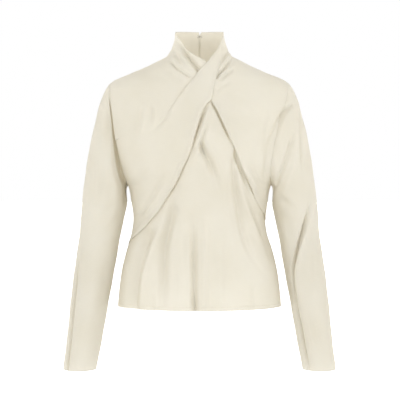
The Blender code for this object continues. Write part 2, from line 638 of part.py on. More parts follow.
def zip_pull():
    """Pull tab that hangs from the slider's bridge on its cross bar and turns about it."""
    thickness = SLIDER_SIZE[2]
    pivot = CLOTH / 2 + SLIDER_STANDOFF + thickness + BRIDGE_INNER_HEIGHT / 2
    hinge = bpy.data.objects.new("pull_hinge", None)
    parts.objects.link(hinge)
    hinge.parent = garment
    hinge.matrix_world = centre_back_frame(SLIDER_HEIGHT, pivot)

    outline = bpy.data.curves.new("zip_pull", "CURVE")
    outline.dimensions = "2D"
    outline.fill_mode = "BOTH"
    outline.extrude = PULL_THICKNESS / 2
    half_bar = PULL_THICKNESS / 2
    round_end = [(PULL_HALF_WIDTH * math.cos(a), -PULL_LENGTH + PULL_HALF_WIDTH * (1 + math.sin(a)))
                 for a in np.linspace(0, -math.pi, 9)]
    edge = [(PULL_HALF_WIDTH, half_bar), (PULL_HALF_WIDTH, -PULL_HOLE_LENGTH - PULL_EYE_RIM),
            (PULL_WAIST_HALF_WIDTH, -PULL_HOLE_LENGTH - PULL_TAPER)]
    sides = [*edge, *round_end, *[(-x, y) for x, y in reversed(edge)]]
    hole = [(PULL_HOLE_HALF_WIDTH, -half_bar), (-PULL_HOLE_HALF_WIDTH, -half_bar),
            (-PULL_HOLE_HALF_WIDTH, -PULL_HOLE_LENGTH), (PULL_HOLE_HALF_WIDTH, -PULL_HOLE_LENGTH)]
    for points in (sides, hole):
        spline = outline.splines.new("POLY")
        spline.points.add(len(points) - 1)
        for point, (x, y) in zip(spline.points, points):
            point.co = (x, y, 0, 1)
        spline.use_cyclic_u = True
    pull = add_object("zip_pull", meshed(outline), "enamelled_metal", hinge)
    pull.matrix_world = hinge.matrix_world


def hook_and_eye():
    """Hook and eye inside the collar, just under the notch. The hook's bill lies over the eye's loop."""
    inside = centre_back_frame(HOOK_HEIGHT, -CLOTH / 2 - HOOK_STANDOFF - WIRE_RADIUS)
    eye = [(0.0052, 0.0016, 0), (0.0040, 0.0022, 0), (0.0028, 0.0014, 0), (0.0004, 0.0013, 0),
           (-0.0006, 0.0, 0), (0.0004, -0.0013, 0), (0.0028, -0.0014, 0), (0.0040, -0.0022, 0),
           (0.0052, -0.0016, 0)]
    over = -2 * WIRE_RADIUS - HOOK_CLEARANCE
    hook = [(-0.0060, 0.0014, 0), (-0.0048, 0.0022, 0), (-0.0034, 0.0007, 0), (-0.0024, 0.0006, over),
            (0.0006, 0.0005, over), (0.0016, 0.0, over), (0.0006, -0.0005, over), (-0.0024, -0.0006, over),
            (-0.0034, -0.0007, 0), (-0.0048, -0.0022, 0), (-0.0060, -0.0014, 0)]
    for name, points in (("neck_eye", eye), ("neck_hook", hook)):
        made = add_object(name, meshed(wire(name, points, WIRE_RADIUS)), "nickel", garment)
        made.matrix_world = inside


for leftover in list(bpy.data.objects):
    bpy.data.objects.remove(leftover)
parts = bpy.data.collections.new("high_neck_top")
helpers = bpy.data.collections.new("helpers")
bpy.context.scene.collection.children.link(parts)
bpy.context.scene.collection.children.link(helpers)
garment = bpy.data.objects.new("garment", None)
parts.objects.link(garment)

front_left()
front_right()
front_lower()
back(-1, "back_left")
back(1, "back_right")
sleeve(-1, "sleeve_left")
sleeve(1, "sleeve_right")
zip_slider()
zip_pull()
hook_and_eye()
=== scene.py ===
"""Looks of the high neck top: a cream satin-backed crepe, draped and crossed at the throat.

Each panel of cloth is one grid of points. A point's place is an angle round the worn form and a level down
it, and its height over the form is a sum of lifts: layers that lie on each other, rolled edges, seams that
pull in, and folds placed one by one. Left and right are those of someone who looks at the front.
"""

import logging
import math
from collections.abc import Callable
from dataclasses import dataclass, field
from enum import Enum

import bpy
import numpy as np
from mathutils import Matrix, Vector


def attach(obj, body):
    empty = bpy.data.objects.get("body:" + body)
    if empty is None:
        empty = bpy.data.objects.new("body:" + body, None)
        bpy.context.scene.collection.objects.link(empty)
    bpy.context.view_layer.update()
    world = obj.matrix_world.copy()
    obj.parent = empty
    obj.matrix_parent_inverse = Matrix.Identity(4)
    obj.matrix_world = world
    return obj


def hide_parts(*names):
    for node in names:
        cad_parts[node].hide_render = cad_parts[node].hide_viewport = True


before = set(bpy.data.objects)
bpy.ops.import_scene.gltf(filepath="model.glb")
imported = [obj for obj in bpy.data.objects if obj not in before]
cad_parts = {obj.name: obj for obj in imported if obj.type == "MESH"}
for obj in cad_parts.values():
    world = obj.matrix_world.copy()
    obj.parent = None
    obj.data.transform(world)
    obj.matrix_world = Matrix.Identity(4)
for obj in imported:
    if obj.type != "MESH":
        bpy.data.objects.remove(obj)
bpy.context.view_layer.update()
LOG = logging.getLogger("high_neck_top")
Array = np.ndarray
Line = tuple[tuple[float, float], ...]
Colour = tuple[float, float, float, float]
MM = 0.001
FULL_TURN = 2 * math.pi
WHITE: Colour = (1.0, 1.0, 1.0, 1.0)


def smooth_through(at: Array, x: Array, y: Array) -> Array:
    """Read a curve through points, one that never overshoots them.

    Between two points it is the cubic with slopes m0 and m1 at its ends, and each slope is the weighted
    harmonic mean of the slopes beside its point, or 0 where they differ in sign.

    Args:
        at: where to read the curve.
        x: the points' places, rising.
        y: the points' values.

    Returns:
        The curve's value at each place.
    """
    step, slope = np.diff(x), np.diff(y) / np.diff(x)
    turning = slope[:-1] * slope[1:] <= 0
    before, after = np.where(turning, 1.0, slope[:-1]), np.where(turning, 1.0, slope[1:])
    first, second = 2 * step[1:] + step[:-1], step[1:] + 2 * step[:-1]
    mean = np.where(turning, 0.0, (first + second) / (first / before + second / after))
    tangent = np.concatenate([slope[:1], mean, slope[-1:]])
    at = np.clip(np.asarray(at, float), x[0], x[-1])
    i = np.clip(np.searchsorted(x, at) - 1, 0, len(x) - 2)
    t = (at - x[i]) / step[i]
    start = y[i] * (1 + 2 * t) * (1 - t) ** 2 + step[i] * tangent[i] * t * (1 - t) ** 2
    return start + y[i + 1] * t * t * (3 - 2 * t) + step[i] * tangent[i + 1] * t * t * (t - 1)


def ease(value: Array, start: float, end: float) -> Array:
    """0 before start, 1 after end, and 3t^2 - 2t^3 between."""
    t = np.clip((value - start) / (end - start), 0, 1)
    return t * t * (3 - 2 * t)


def bell(distance: Array, half_width: Array | float) -> Array:
    """exp(-(distance / half width)^2)."""
    return np.exp(-((distance / half_width) ** 2))


def steps(points: Array, axis: int = 0) -> Array:
    """Length of each step between neighbours along an axis of a grid of points."""
    return np.linalg.norm(np.diff(points, axis=axis), axis=-1)


def runs(points: Array) -> Array:
    """Length along a line of points from its first one to each."""
    return np.concatenate([[0.0], np.cumsum(steps(points))])


def unit(vectors: Array) -> Array:
    """The vectors, each divided by its own length."""
    return vectors / np.maximum(np.linalg.norm(vectors, axis=-1, keepdims=True), 1e-12)


def read_line(read: Callable, at: Array, run: Array, points: Array) -> Array:
    """Points of a line at these lengths along it: read(at, run, column) of each of its columns."""
    return np.stack([read(at, run, column) for column in points.T], axis=-1)


def rings(**columns: tuple[float, ...]) -> dict[str, Array]:
    """Columns of sizes by height, sorted so that the heights rise."""
    order = np.argsort(columns["height"])
    return {name: np.asarray(column, float)[order] for name, column in columns.items()}


@dataclass(frozen=True)
class WornForm:
    """The form that the cloth has when it is worn: a stack of rings, each of two half ellipses."""

    collar_top: float = 0.055
    hem: float = -0.547
    armhole_top: float = -0.056
    underarm: float = -0.281
    back_collar_rise: float = 0.005
    view_distance: float = 2.70
    view_height: float = -0.315
    sideways: float = 0.8
    samples: int = 900
    line_samples: int = 800
    edge_samples: int = 600
    body: dict[str, Array] = field(default_factory=lambda: rings(
        height=(0.055, 0.040, 0.022, 0.0095, 0.0015, -0.0035, -0.0058, -0.013, -0.0194, -0.037, -0.0546,
                -0.0735, -0.099, -0.140, -0.185, -0.215, -0.243, -0.262, -0.281, -0.296, -0.318, -0.354,
                -0.385, -0.420, -0.460, -0.500, -0.547),
        half_width=(0.0520, 0.0540, 0.0590, 0.0650, 0.0700, 0.0760, 0.0805, 0.0960, 0.1090, 0.1485, 0.1895,
                    0.2060, 0.2100, 0.2010, 0.1935, 0.1860, 0.1765, 0.1675, 0.1570, 0.1525, 0.1490,
                    0.1445, 0.1480, 0.1590, 0.1690, 0.1750, 0.1795),
        front=(0.0600, 0.0615, 0.0640, 0.0660, 0.0670, 0.0685, 0.0690, 0.0715, 0.0740, 0.0805, 0.0870,
               0.0950, 0.1060, 0.1210, 0.1320, 0.1320, 0.1290, 0.1250, 0.1205, 0.1150, 0.1080,
               0.1010, 0.1020, 0.1065, 0.1130, 0.1185, 0.1220),
        back=(0.0520, 0.0545, 0.0590, 0.0625, 0.0650, 0.0665, 0.0675, 0.0700, 0.0725, 0.0790, 0.0840,
              0.0890, 0.0950, 0.1010, 0.1050, 0.1050, 0.1020, 0.0990, 0.0960, 0.0935, 0.0900,
              0.0860, 0.0885, 0.0950, 0.1045, 0.1115, 0.1165),
    ))
    armholes: dict[int, dict[str, Array]] = field(default_factory=lambda: {
        -1: rings(height=(-0.056, -0.080, -0.123, -0.176, -0.215, -0.243, -0.263, -0.281),
                  half_width=(0.1920, 0.1945, 0.1900, 0.1830, 0.1755, 0.1690, 0.1635, 0.1570)),
        1: rings(height=(-0.056, -0.080, -0.114, -0.150, -0.196, -0.239, -0.263, -0.281),
                 half_width=(0.1920, 0.1905, 0.1830, 0.1720, 0.1600, 0.1530, 0.1530, 0.1570)),
    })

    def size(self, height: Array, column: str) -> Array:
        """A size of the body's ring at each height."""
        return smooth_through(height, self.body["height"], self.body[column])

    def outline(self) -> tuple[Array, Array]:
        """Heights down the outline and the length down it to each, its sideways runs made shorter."""
        heights = np.linspace(self.collar_top, self.hem, self.samples)
        across = self.sideways * np.diff(self.size(heights, "half_width"))
        return heights, np.concatenate([[0.0], np.cumsum(np.hypot(np.diff(heights), across))])

    def height_of(self, level: Array) -> Array:
        """Height of each level."""
        heights, levels = self.outline()
        return np.interp(level, levels, heights)

    def level_of(self, height: Array) -> Array:
        """Level of each height."""
        heights, levels = self.outline()
        return np.interp(-np.asarray(height, float), -heights, levels)

    def point(self, places: Array) -> Array:
        """Points of the form: (w sin a, -d cos a, z + rise), with d the front depth where cos a > 0."""
        angle, height = places[..., 0], self.height_of(places[..., 1])
        facing = np.cos(angle)
        depth = np.where(facing > 0, self.size(height, "front"), self.size(height, "back"))
        rise = self.back_collar_rise * ease(-facing, 0.0, 1.0) * ease(height, -0.02, self.collar_top)
        across = self.size(height, "half_width") * np.sin(angle)
        return np.stack([across, -depth * facing, height + rise], axis=-1)

    def outward(self, places: Array) -> Array:
        """Unit normals of the form, from differences of its points."""
        turn, drop = np.array([0.002, 0.0]), np.array([0.0, 0.0015])
        low, high = places - drop, places + drop
        last = self.level_of(self.hem)
        low[..., 1] = np.clip(low[..., 1], 0, last)
        high[..., 1] = np.clip(high[..., 1], 0, last)
        across = self.point(places + turn) - self.point(places - turn)
        return unit(np.cross(self.point(high) - self.point(low), across))

    def place_of(self, across: float, height: float) -> Array:
        """The place on the front that shows at this spot of the front view.

        Args:
            across: the spot's place out from the centre, on the plane y = 0.
            height: its height there.

        Returns:
            The place. It is found by turns: the form's depth there gives the scale of what shows, and the
            scale gives a better place.
        """
        x, z = across, height
        for _ in range(8):
            share = np.clip(x / self.size(z, "half_width"), -1, 1)
            scale = 1 - self.size(z, "front") * np.sqrt(1 - share**2) / self.view_distance
            x, z = across * scale, self.view_height + (height - self.view_height) * scale
        return np.stack([np.arcsin(share), self.level_of(z)], axis=-1)

    def seen(self, points: Array) -> Array:
        """Where points show in the front view: (x / s, h + (z - h) / s), with s = 1 + y / distance."""
        x, y, z = np.moveaxis(points, -1, 0)
        scale = 1 + y / self.view_distance
        return np.stack([x / scale, self.view_height + (z - self.view_height) / scale], axis=-1)

    def side(self, side: int, top: float, foot: float, count: int) -> Array:
        """Places down a side seam."""
        levels = np.linspace(self.level_of(top), self.level_of(foot), count)
        return np.stack([np.full(count, side * math.pi / 2), levels], axis=-1)

    def hole_width(self, side: int, height: Array) -> Array:
        """How far out an armhole's seam lies at each height."""
        hole = self.armholes[side]
        return smooth_through(height, hole["height"], hole["half_width"])

    def hole_angle(self, side: int, height: Array) -> Array:
        """Angle of an armhole's seam on the front at each height."""
        return np.arcsin(np.clip(self.hole_width(side, height) / self.size(height, "half_width"), 0, 1))

    def outer_angle(self, side: int, height: Array) -> Array:
        """Angle of a panel's outer edge: on the armhole seam beside it, on the side elsewhere."""
        inside = (height <= self.armhole_top) & (height >= self.underarm)
        return np.where(inside, self.hole_angle(side, height), math.pi / 2)

    def outer(self, side: int, top: float, foot: float, count: int) -> Array:
        """Places down a panel's outer edge: shoulder seam, armhole and side seam, one at each corner."""
        ends = [top, *(z for z in (self.armhole_top, self.underarm) if foot < z < top), foot]
        lines = []
        for start, end in zip(ends, ends[1:]):
            heights = start + (end - start) * np.linspace(0, 1, self.edge_samples) ** 1.5
            lines.append(np.stack([side * self.outer_angle(side, heights), self.level_of(heights)], axis=-1))
        lengths = [runs(self.point(line))[-1] for line in lines]
        cells = [round((count - 1) * length / sum(lengths)) for length in lengths[:-1]]
        cells.append(count - 1 - sum(cells))
        pieces = [self.spaced(line, cell + 1) for line, cell in zip(lines, cells)]
        return np.concatenate([pieces[0]] + [piece[1:] for piece in pieces[1:]])

    def spaced(self, places: Array, count: int) -> Array:
        """count places evenly spaced along a dense line of places."""
        run = runs(self.point(places))
        return read_line(np.interp, np.linspace(0, run[-1], count), run, places)

    def trace(self, line: Line, count: int, start: Array | None = None, end: Array | None = None) -> Array:
        """Places along a smooth line on the front.

        Args:
            line: spots of a front view, as places out from the centre and heights.
            count: how many places to give.
            start: a place before the first spot.
            end: a place after the last spot.

        Returns:
            Evenly spaced places from one end to the other.
        """
        spots = [self.place_of(across, height) for across, height in line]
        places = np.array([place for place in (start, *spots, end) if place is not None])
        run = runs(self.point(places))
        dense = np.linspace(0, run[-1], self.line_samples)
        return self.spaced(read_line(smooth_through, dense, run, places), count)


FORM = WornForm()


def filled(top: Array, foot: Array, first: Array, last: Array, reach: float = 1.0,
           passes: int = 100, kept_from: float = 0.7) -> Array:
    """Places of a four-sided patch.

    Args:
        top: places along its top.
        foot: places along its foot.
        first: places down its first side.
        last: places down its last side.
        reach: how soon the bends of the last side die out inwards. At 1 they reach right across.
        passes: how often the last side's corners are evened out, so that they make no crease inside.
        kept_from: the share of the way across from which they come back.

    Returns:
        (1 - v) top + v foot, plus what each side differs from its own chord, times 1 - u or u^reach.
    """
    u = np.linspace(0, 1, len(top))[None, :, None]
    v = np.linspace(0, 1, len(first))[:, None, None]
    near = first[:, None] - (1 - v) * top[0] - v * foot[0]
    far = last[:, None] - (1 - v) * top[-1] - v * foot[-1]
    soft = far
    for _ in range(passes):
        soft = np.concatenate([soft[:1], (soft[:-2] + 2 * soft[1:-1] + soft[2:]) / 4, soft[-1:]])
    far = soft + (far - soft) * ease(u, kept_from, 1.0)
    return (1 - v) * top + v * foot + (1 - u) * near + u**reach * far


def grid_normals(points: Array, closed: bool) -> Array:
    """Unit normals of a grid whose columns run round a tube or across a sheet, from its differences."""
    down = np.gradient(points, axis=0)
    across = np.gradient(points, axis=1)
    if closed:
        across = (np.roll(points, -1, axis=1) - np.roll(points, 1, axis=1)) / 2
    return unit(np.cross(down, across))


class Crease(Enum):
    """The section of a fold across its line."""

    ROUND = "a soft crest, or a soft valley where its height is below 0"
    TUCK = "a step that rises slowly on the left of the line and falls steeply on its right"


@dataclass(frozen=True)
class Fold:
    """One fold of the cloth, laid along a line of a front view, a back view or a sleeve's, in mm.

    start and end are the shares of the line over which it comes up and dies out.
    """

    line: Line
    half_width: float
    height: float
    start: float = 0.3
    end: float = 0.3
    crease: Crease = Crease.ROUND
    path_points: int = 49
    reach: float = 3.2
    steep: float = 0.35

    def path(self) -> Array:
        """Dense points of the line, a smooth curve through its own."""
        points = np.array(self.line) * MM
        run = runs(points)
        read = smooth_through if len(points) > 2 else np.interp
        return read_line(read, np.linspace(0, run[-1], self.path_points), run, points)

    def lift(self, flat: Array) -> Array:
        """Lift at each flattened point: height * section(distance / half width) * fade(share of the line).

        Args:
            flat: the panel's points, flattened in the same way as the line.

        Returns:
            The lift in metres, 0 past reach half widths.
        """
        path = self.path()
        lift = np.zeros(flat.shape[:-1])
        reach = self.reach * self.half_width * MM
        low, high = path.min(axis=0) - reach, path.max(axis=0) + reach
        near = ((flat >= low) & (flat <= high)).all(axis=-1)
        if not near.any():
            return lift
        offset = flat[near][:, None, :] - path
        nearest = np.linalg.norm(offset, axis=-1).argmin(axis=-1)
        tangent = np.gradient(path, axis=0)[nearest]
        gap = offset[np.arange(len(nearest)), nearest]
        along = (gap * tangent).sum(axis=-1) / (np.linalg.norm(tangent, axis=-1) ** 2)
        share = (nearest + along) / (len(path) - 1)
        side = (tangent[:, 0] * gap[:, 1] - tangent[:, 1] * gap[:, 0]) / np.linalg.norm(tangent, axis=-1)
        across = side / (self.half_width * MM)
        section = bell(across, 1.0)
        if self.crease is Crease.TUCK:
            section = np.where(across > 0, section, bell(across, self.steep))
        fade = ease(share, -0.02, self.start) * (1 - ease(share, 1 - self.end, 1.02))
        lift[near] = self.height * MM * section * fade
        return lift


def drape(flat: Array, folds: tuple[Fold, ...]) -> Array:
    """Sum of the folds' lifts."""
    return sum((fold.lift(flat) for fold in folds), np.zeros(flat.shape[:-1]))


def ripple(flat: Array, phase: float | Array, size: float) -> Array:
    """Slack of hung cloth: crossed slow waves of about 50 and 90 mm, and shorter ones of a third the height.

    Args:
        flat: flattened points in metres.
        phase: a phase, so that no two panels match.
        size: height of the slow waves in millimetres.

    Returns:
        The lift in metres.
    """
    x, z = flat[..., 0], flat[..., 1]
    slow = np.sin(72 * x + 31 * z + phase) * np.sin(58 * z - 17 * x + 2.1 * phase)
    slow += 0.6 * np.sin(121 * x - 44 * z + 1.7 * phase) * np.sin(27 * z + 33 * x - phase)
    fine = np.sin(260 * x + 95 * z + 3 * phase) * np.sin(140 * z - 60 * x + phase)
    return size * MM * (slow + 0.3 * fine)


class Edge(Enum):
    """A side of a panel's grid, as the axis to run along and whether to start from its far end."""

    TOP = (0, False)
    FOOT = (0, True)
    FIRST = (1, False)
    LAST = (1, True)

    def distance(self, points: Array) -> Array:
        """Length along the grid's lines from this edge to each point."""
        axis, far = self.value
        points = np.flip(points, axis) if far else points
        pad = [(0, 0), (0, 0)]
        pad[axis] = (1, 0)
        run = np.pad(np.cumsum(steps(points, axis), axis=axis), pad)
        return np.flip(run, axis) if far else run

    def share(self, points: Array) -> Array:
        """0 on this edge, 1 on the opposite one, and the share of the way between them elsewhere."""
        axis, far = self.value
        whole = self.distance(points)
        return whole / np.take(whole, [0 if far else -1], axis=axis)

    def run(self, points: Array) -> Array:
        """Length along this edge, as one number for each line of the grid that leaves it."""
        axis, far = self.value
        edge = np.take(points, -1 if far else 0, axis=axis)
        return np.expand_dims(runs(edge), axis)


@dataclass(frozen=True)
class Seam:
    """A seam that pulls the cloth in, inset mm in from a panel's edge, with small puckers beside it."""

    edge: Edge
    depth: float = 0.9
    width: float = 2.6
    pucker: float = 0.16
    pitch: float = 7.0
    inset: float = 0.0
    spread: float = 3.2

    def lift(self, points: Array) -> Array:
        """-depth * bell(d / width) + pucker * wave(s) * bell(d / spread), d from the seam and s along it."""
        away = np.abs(self.edge.distance(points) - self.inset * MM)
        run = self.edge.run(points)
        wave = np.sin(FULL_TURN * run / (self.pitch * MM) + 2.2 * np.sin(41 * run))
        wave = wave * (0.6 + 0.4 * np.sin(97 * run + 1.0))
        pull = -self.depth * bell(away, self.width * MM)
        return MM * (pull + self.pucker * wave * bell(away, self.spread * self.width * MM))


@dataclass(frozen=True)
class Roll:
    """A free edge that rolls over: it swells a little way in and turns under at the very edge."""

    edge: Edge
    swell: float
    reach: float = 9.0
    turn_under: float = 1.2
    under_width: float = 2.0

    def lift(self, points: Array) -> Array:
        """swell * bell(d - reach / 2) - turn under * bell(d) at the distance d from the edge."""
        away = self.edge.distance(points)
        body = self.swell * bell(away - self.reach * MM / 2, self.reach * MM)
        return MM * (body - self.turn_under * bell(away, self.under_width * MM))


class Socket:
    """A node's output in an expression: +, - and * on it add Math nodes."""

    def __init__(self, nodes: "Nodes", output: bpy.types.NodeSocket) -> None:
        """Wrap an output of one of the tree's nodes."""
        self.nodes = nodes
        self.output = output

    def _math(self, operation: str, *values: "Socket | float") -> "Socket":
        """A Math node of this operation on the values in order."""
        return self.nodes.add("ShaderNodeMath", {"operation": operation}, dict(enumerate(values)))

    def __add__(self, other: "Socket | float") -> "Socket":
        """self + other."""
        return self._math("ADD", self, other)

    def __sub__(self, other: "Socket | float") -> "Socket":
        """self - other."""
        return self._math("SUBTRACT", self, other)

    def __mul__(self, other: "Socket | float") -> "Socket":
        """self * other."""
        return self._math("MULTIPLY", self, other)

    def __rsub__(self, other: float) -> "Socket":
        """other - self."""
        return self._math("SUBTRACT", other, self)

    __radd__ = __add__
    __rmul__ = __mul__


class Nodes:
    """A material's node tree, with its Principled shader."""

    def __init__(self, name: str) -> None:
        """Start a material of this name."""
        self.material = bpy.data.materials.new(name)
        self.material.use_nodes = True
        self.tree = self.material.node_tree
        self.shader = self.tree.nodes["Principled BSDF"]

    def add(self, kind: str, settings: dict | None = None, inputs: dict | None = None,
            output: int | str = 0) -> Socket:
        """Add a node.

        Args:
            kind: the node's type.
            settings: its properties, set first. "stops" are a colour ramp's positions and colours.
            inputs: values or Sockets by the input's name or number.
            output: the output to give.

        Returns:
            The chosen output.
        """
        node = self.tree.nodes.new(kind)
        for name, value in (settings or {}).items():
            if name == "stops":
                self._ramp(node, value)
            else:
                setattr(node, name, value)
        for name, value in (inputs or {}).items():
            self.join(node.inputs[name], value)
        return Socket(self, node.outputs[output])

    @staticmethod
    def _ramp(node: bpy.types.Node, stops: tuple) -> None:
        """Give a colour ramp its stops."""
        elements = node.color_ramp.elements
        while len(elements) < len(stops):
            elements.new(0.5)
        for element, (position, colour) in zip(elements, stops):
            element.position = position
            element.color = colour

    def join(self, socket: bpy.types.NodeSocket, value: "Socket | float | tuple") -> None:
        """Link a Socket to an input, or set the input's own value."""
        if isinstance(value, Socket):
            self.tree.links.new(value.output, socket)
        else:
            socket.default_value = value

    def shade(self, **sockets: "Socket | float | tuple") -> None:
        """Set or link the shader's inputs, by name with _ for each space."""
        for name, value in sockets.items():
            self.join(self.shader.inputs[name.replace("_", " ")], value)

    def let_through(self, share: float, colour: Colour) -> None:
        """Let this share of the light through, tinted, as thin cloth does."""
        through = self.add("ShaderNodeBsdfTranslucent", None, {"Color": colour})
        surface = Socket(self, self.shader.outputs[0])
        mixed = self.add("ShaderNodeMixShader", None, {0: share, 1: surface, 2: through})
        self.tree.links.new(mixed.output, self.tree.nodes["Material Output"].inputs["Surface"])


@dataclass(frozen=True)
class CrepeSatin:
    """Satin-backed crepe: a soft sheen, a fine pebbled twill and slubs along the weft."""

    colour: Colour = (0.815, 0.808, 0.750, 1.0)
    shade: Colour = (0.770, 0.757, 0.682, 1.0)
    thread_pitch: float = 0.00042
    slub_length: float = 0.012
    twill_degrees: float = 63.0
    roughness: float = 0.47
    sheen: float = 0.25
    see_through: float = 0.46
    glow: Colour = (0.97, 0.925, 0.835, 1.0)

    def material(self) -> bpy.types.Material:
        """Colour from slow clouds and slubs, roughness from both, and bump from the weave.

        Returns:
            The finished material. It reads the cloth's own UV map, which is in metres.
        """
        nodes = Nodes("crepe_satin")
        uv = nodes.add("ShaderNodeUVMap", {"uv_map": "cloth"})
        slub_uv = nodes.add("ShaderNodeMapping", None, {
            "Vector": uv, "Scale": (1 / self.slub_length, 1 / (self.thread_pitch * 3), 1.0)})
        slubs = nodes.add("ShaderNodeTexNoise", None, {"Vector": slub_uv, "Scale": 1.0, "Detail": 3.0})
        clouds = nodes.add("ShaderNodeTexNoise", None, {"Vector": uv, "Scale": 11.0, "Detail": 4.0})
        grain = nodes.add("ShaderNodeTexNoise", None, {
            "Vector": uv, "Scale": 1 / (self.thread_pitch * 2.5), "Detail": 2.0, "Roughness": 0.6})
        slant = (0.0, 0.0, math.radians(self.twill_degrees))
        twill_uv = nodes.add("ShaderNodeMapping", None, {"Vector": uv, "Rotation": slant})
        twill = nodes.add("ShaderNodeTexWave", None, {
            "Vector": twill_uv, "Scale": 1 / (self.thread_pitch * 20), "Distortion": 1.4,
            "Detail": 2.0, "Detail Scale": 1.2})
        tone = clouds * 0.55 + slubs * 0.30 + grain * 0.15
        stops = ((0.36, self.shade), (0.58, self.colour))
        colour = nodes.add("ShaderNodeValToRGB", {"stops": stops}, {0: tone})
        height = grain * 0.6 + twill * 0.4 + slubs * 0.5
        bump = nodes.add("ShaderNodeBump", None, {"Strength": 0.16, "Distance": 0.00012, "Height": height})
        nodes.shade(
            Base_Color=colour,
            Roughness=(slubs - 0.5) * 0.10 + (clouds - 0.5) * 0.08 + self.roughness,
            Normal=bump,
            Sheen_Weight=self.sheen,
            Sheen_Roughness=0.45,
            Sheen_Tint=(1.0, 0.97, 0.90, 1.0),
            Specular_IOR_Level=0.34,
        )
        nodes.let_through(self.see_through, self.glow)
        return nodes.material


@dataclass(frozen=True)
class TwistedThread:
    """Sewing thread or zip tape: matt, with a fine twist that runs along it."""

    name: str = "twisted_thread"
    colour: Colour = (0.80, 0.755, 0.63, 1.0)
    twist_pitch: float = 0.0006

    def material(self) -> bpy.types.Material:
        """Two tones and a bump from slanted waves of the twist."""
        nodes = Nodes(self.name)
        place = nodes.add("ShaderNodeTexCoord", None, None, "Object")
        wave = nodes.add("ShaderNodeTexWave", {"bands_direction": "DIAGONAL"}, {
            "Vector": place, "Scale": 1 / (self.twist_pitch * 20), "Distortion": 0.6})
        dark = tuple(0.86 * value for value in self.colour[:3]) + (1.0,)
        colour = nodes.add("ShaderNodeValToRGB", {"stops": ((0.1, dark), (0.7, self.colour))}, {0: wave})
        bump = nodes.add("ShaderNodeBump", None, {"Strength": 0.5, "Distance": 0.0001, "Height": wave})
        nodes.shade(Base_Color=colour, Roughness=0.62, Normal=bump, Sheen_Weight=0.2)
        return nodes.material


@dataclass(frozen=True)
class CastMetal:
    """Small metal trim, enamelled or plain, with rubbed places and fine casting grain."""

    name: str
    colour: Colour
    worn: Colour
    metallic: float
    roughness: float

    def material(self) -> bpy.types.Material:
        """Colour, roughness and bump from two noises: rubbed patches, and grain."""
        nodes = Nodes(self.name)
        place = nodes.add("ShaderNodeTexCoord", None, None, "Object")
        rubbed = nodes.add("ShaderNodeTexNoise", None, {"Vector": place, "Scale": 420.0, "Detail": 3.0})
        grain = nodes.add("ShaderNodeTexNoise", None, {"Vector": place, "Scale": 2600.0, "Detail": 2.0})
        stops = ((0.52, self.colour), (0.74, self.worn))
        colour = nodes.add("ShaderNodeValToRGB", {"stops": stops}, {0: rubbed})
        bump = nodes.add("ShaderNodeBump", None, {"Strength": 0.2, "Distance": 0.00005, "Height": grain})
        nodes.shade(Base_Color=colour, Metallic=self.metallic, Normal=bump,
                    Roughness=(rubbed - 0.5) * 0.25 + self.roughness)
        return nodes.material


CREPE = CrepeSatin().material()
THREAD = TwistedThread().material()
TAPE = TwistedThread("zip_tape_weave", (0.83, 0.80, 0.70, 1.0), 0.0009).material()
ENAMEL = CastMetal("enamelled_zip_metal", (0.80, 0.77, 0.68, 1.0), (0.72, 0.69, 0.60, 1.0),
                   metallic=0.35, roughness=0.34).material()
NICKEL = CastMetal("nickel_wire", (0.40, 0.39, 0.36, 1.0), (0.26, 0.25, 0.22, 1.0),
                   metallic=1.0, roughness=0.30).material()


def quads(rows: int, columns: int, closed: bool, first: int = 0) -> Array:
    """Faces of a grid of points, as four numbers of points each, round it where it is closed."""
    across = np.arange(columns if closed else columns - 1)
    after = (across + 1) % columns
    down = np.arange(rows - 1)[:, None] * columns
    return (first + np.stack([down + across, down + after, down + columns + after, down + columns + across],
                             axis=-1)).reshape(-1, 4)


def linked(name: str, data: bpy.types.ID) -> bpy.types.Object:
    """A new object of this data, in the scene."""
    made = bpy.data.objects.new(name, data)
    bpy.context.scene.collection.objects.link(made)
    return made


def mesh_piece(name: str, points: Array, faces: Array, material: bpy.types.Material,
               uv: Array | None = None) -> bpy.types.Object:
    """Make a smooth object from arrays.

    Args:
        name: the piece's name.
        points: its points, in rows of any grid.
        faces: its faces, as rows of numbers of points.
        material: its finish.
        uv: a place in metres for each point, kept as the UV map "cloth".

    Returns:
        The object, at the origin.
    """
    mesh = bpy.data.meshes.new(name)
    mesh.vertices.add(points.size // 3)
    mesh.vertices.foreach_set("co", points.astype(np.float32).ravel())
    mesh.loops.add(faces.size)
    mesh.loops.foreach_set("vertex_index", faces.astype(np.int32).ravel())
    mesh.polygons.add(len(faces))
    mesh.polygons.foreach_set("loop_start", np.arange(0, faces.size, faces.shape[1], dtype=np.int32))
    mesh.update(calc_edges=True)
    if uv is not None:
        layer = mesh.uv_layers.new(name="cloth")
        layer.data.foreach_set("uv", uv[faces.ravel()].astype(np.float32).ravel())
    mesh.shade_smooth()
    mesh.materials.append(material)
    mesh.validate()
    return linked(name, mesh)


def add_wall(made: bpy.types.Object, thickness: float) -> None:
    """Give a sheet a wall, half of it on either side."""
    wall = made.modifiers.new("wall", "SOLIDIFY")
    wall.thickness = thickness
    wall.offset = 0.0


def sew_on(made: bpy.types.Object) -> None:
    """Let a trim of thread or tape ride on the garment."""
    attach(made, "garment")


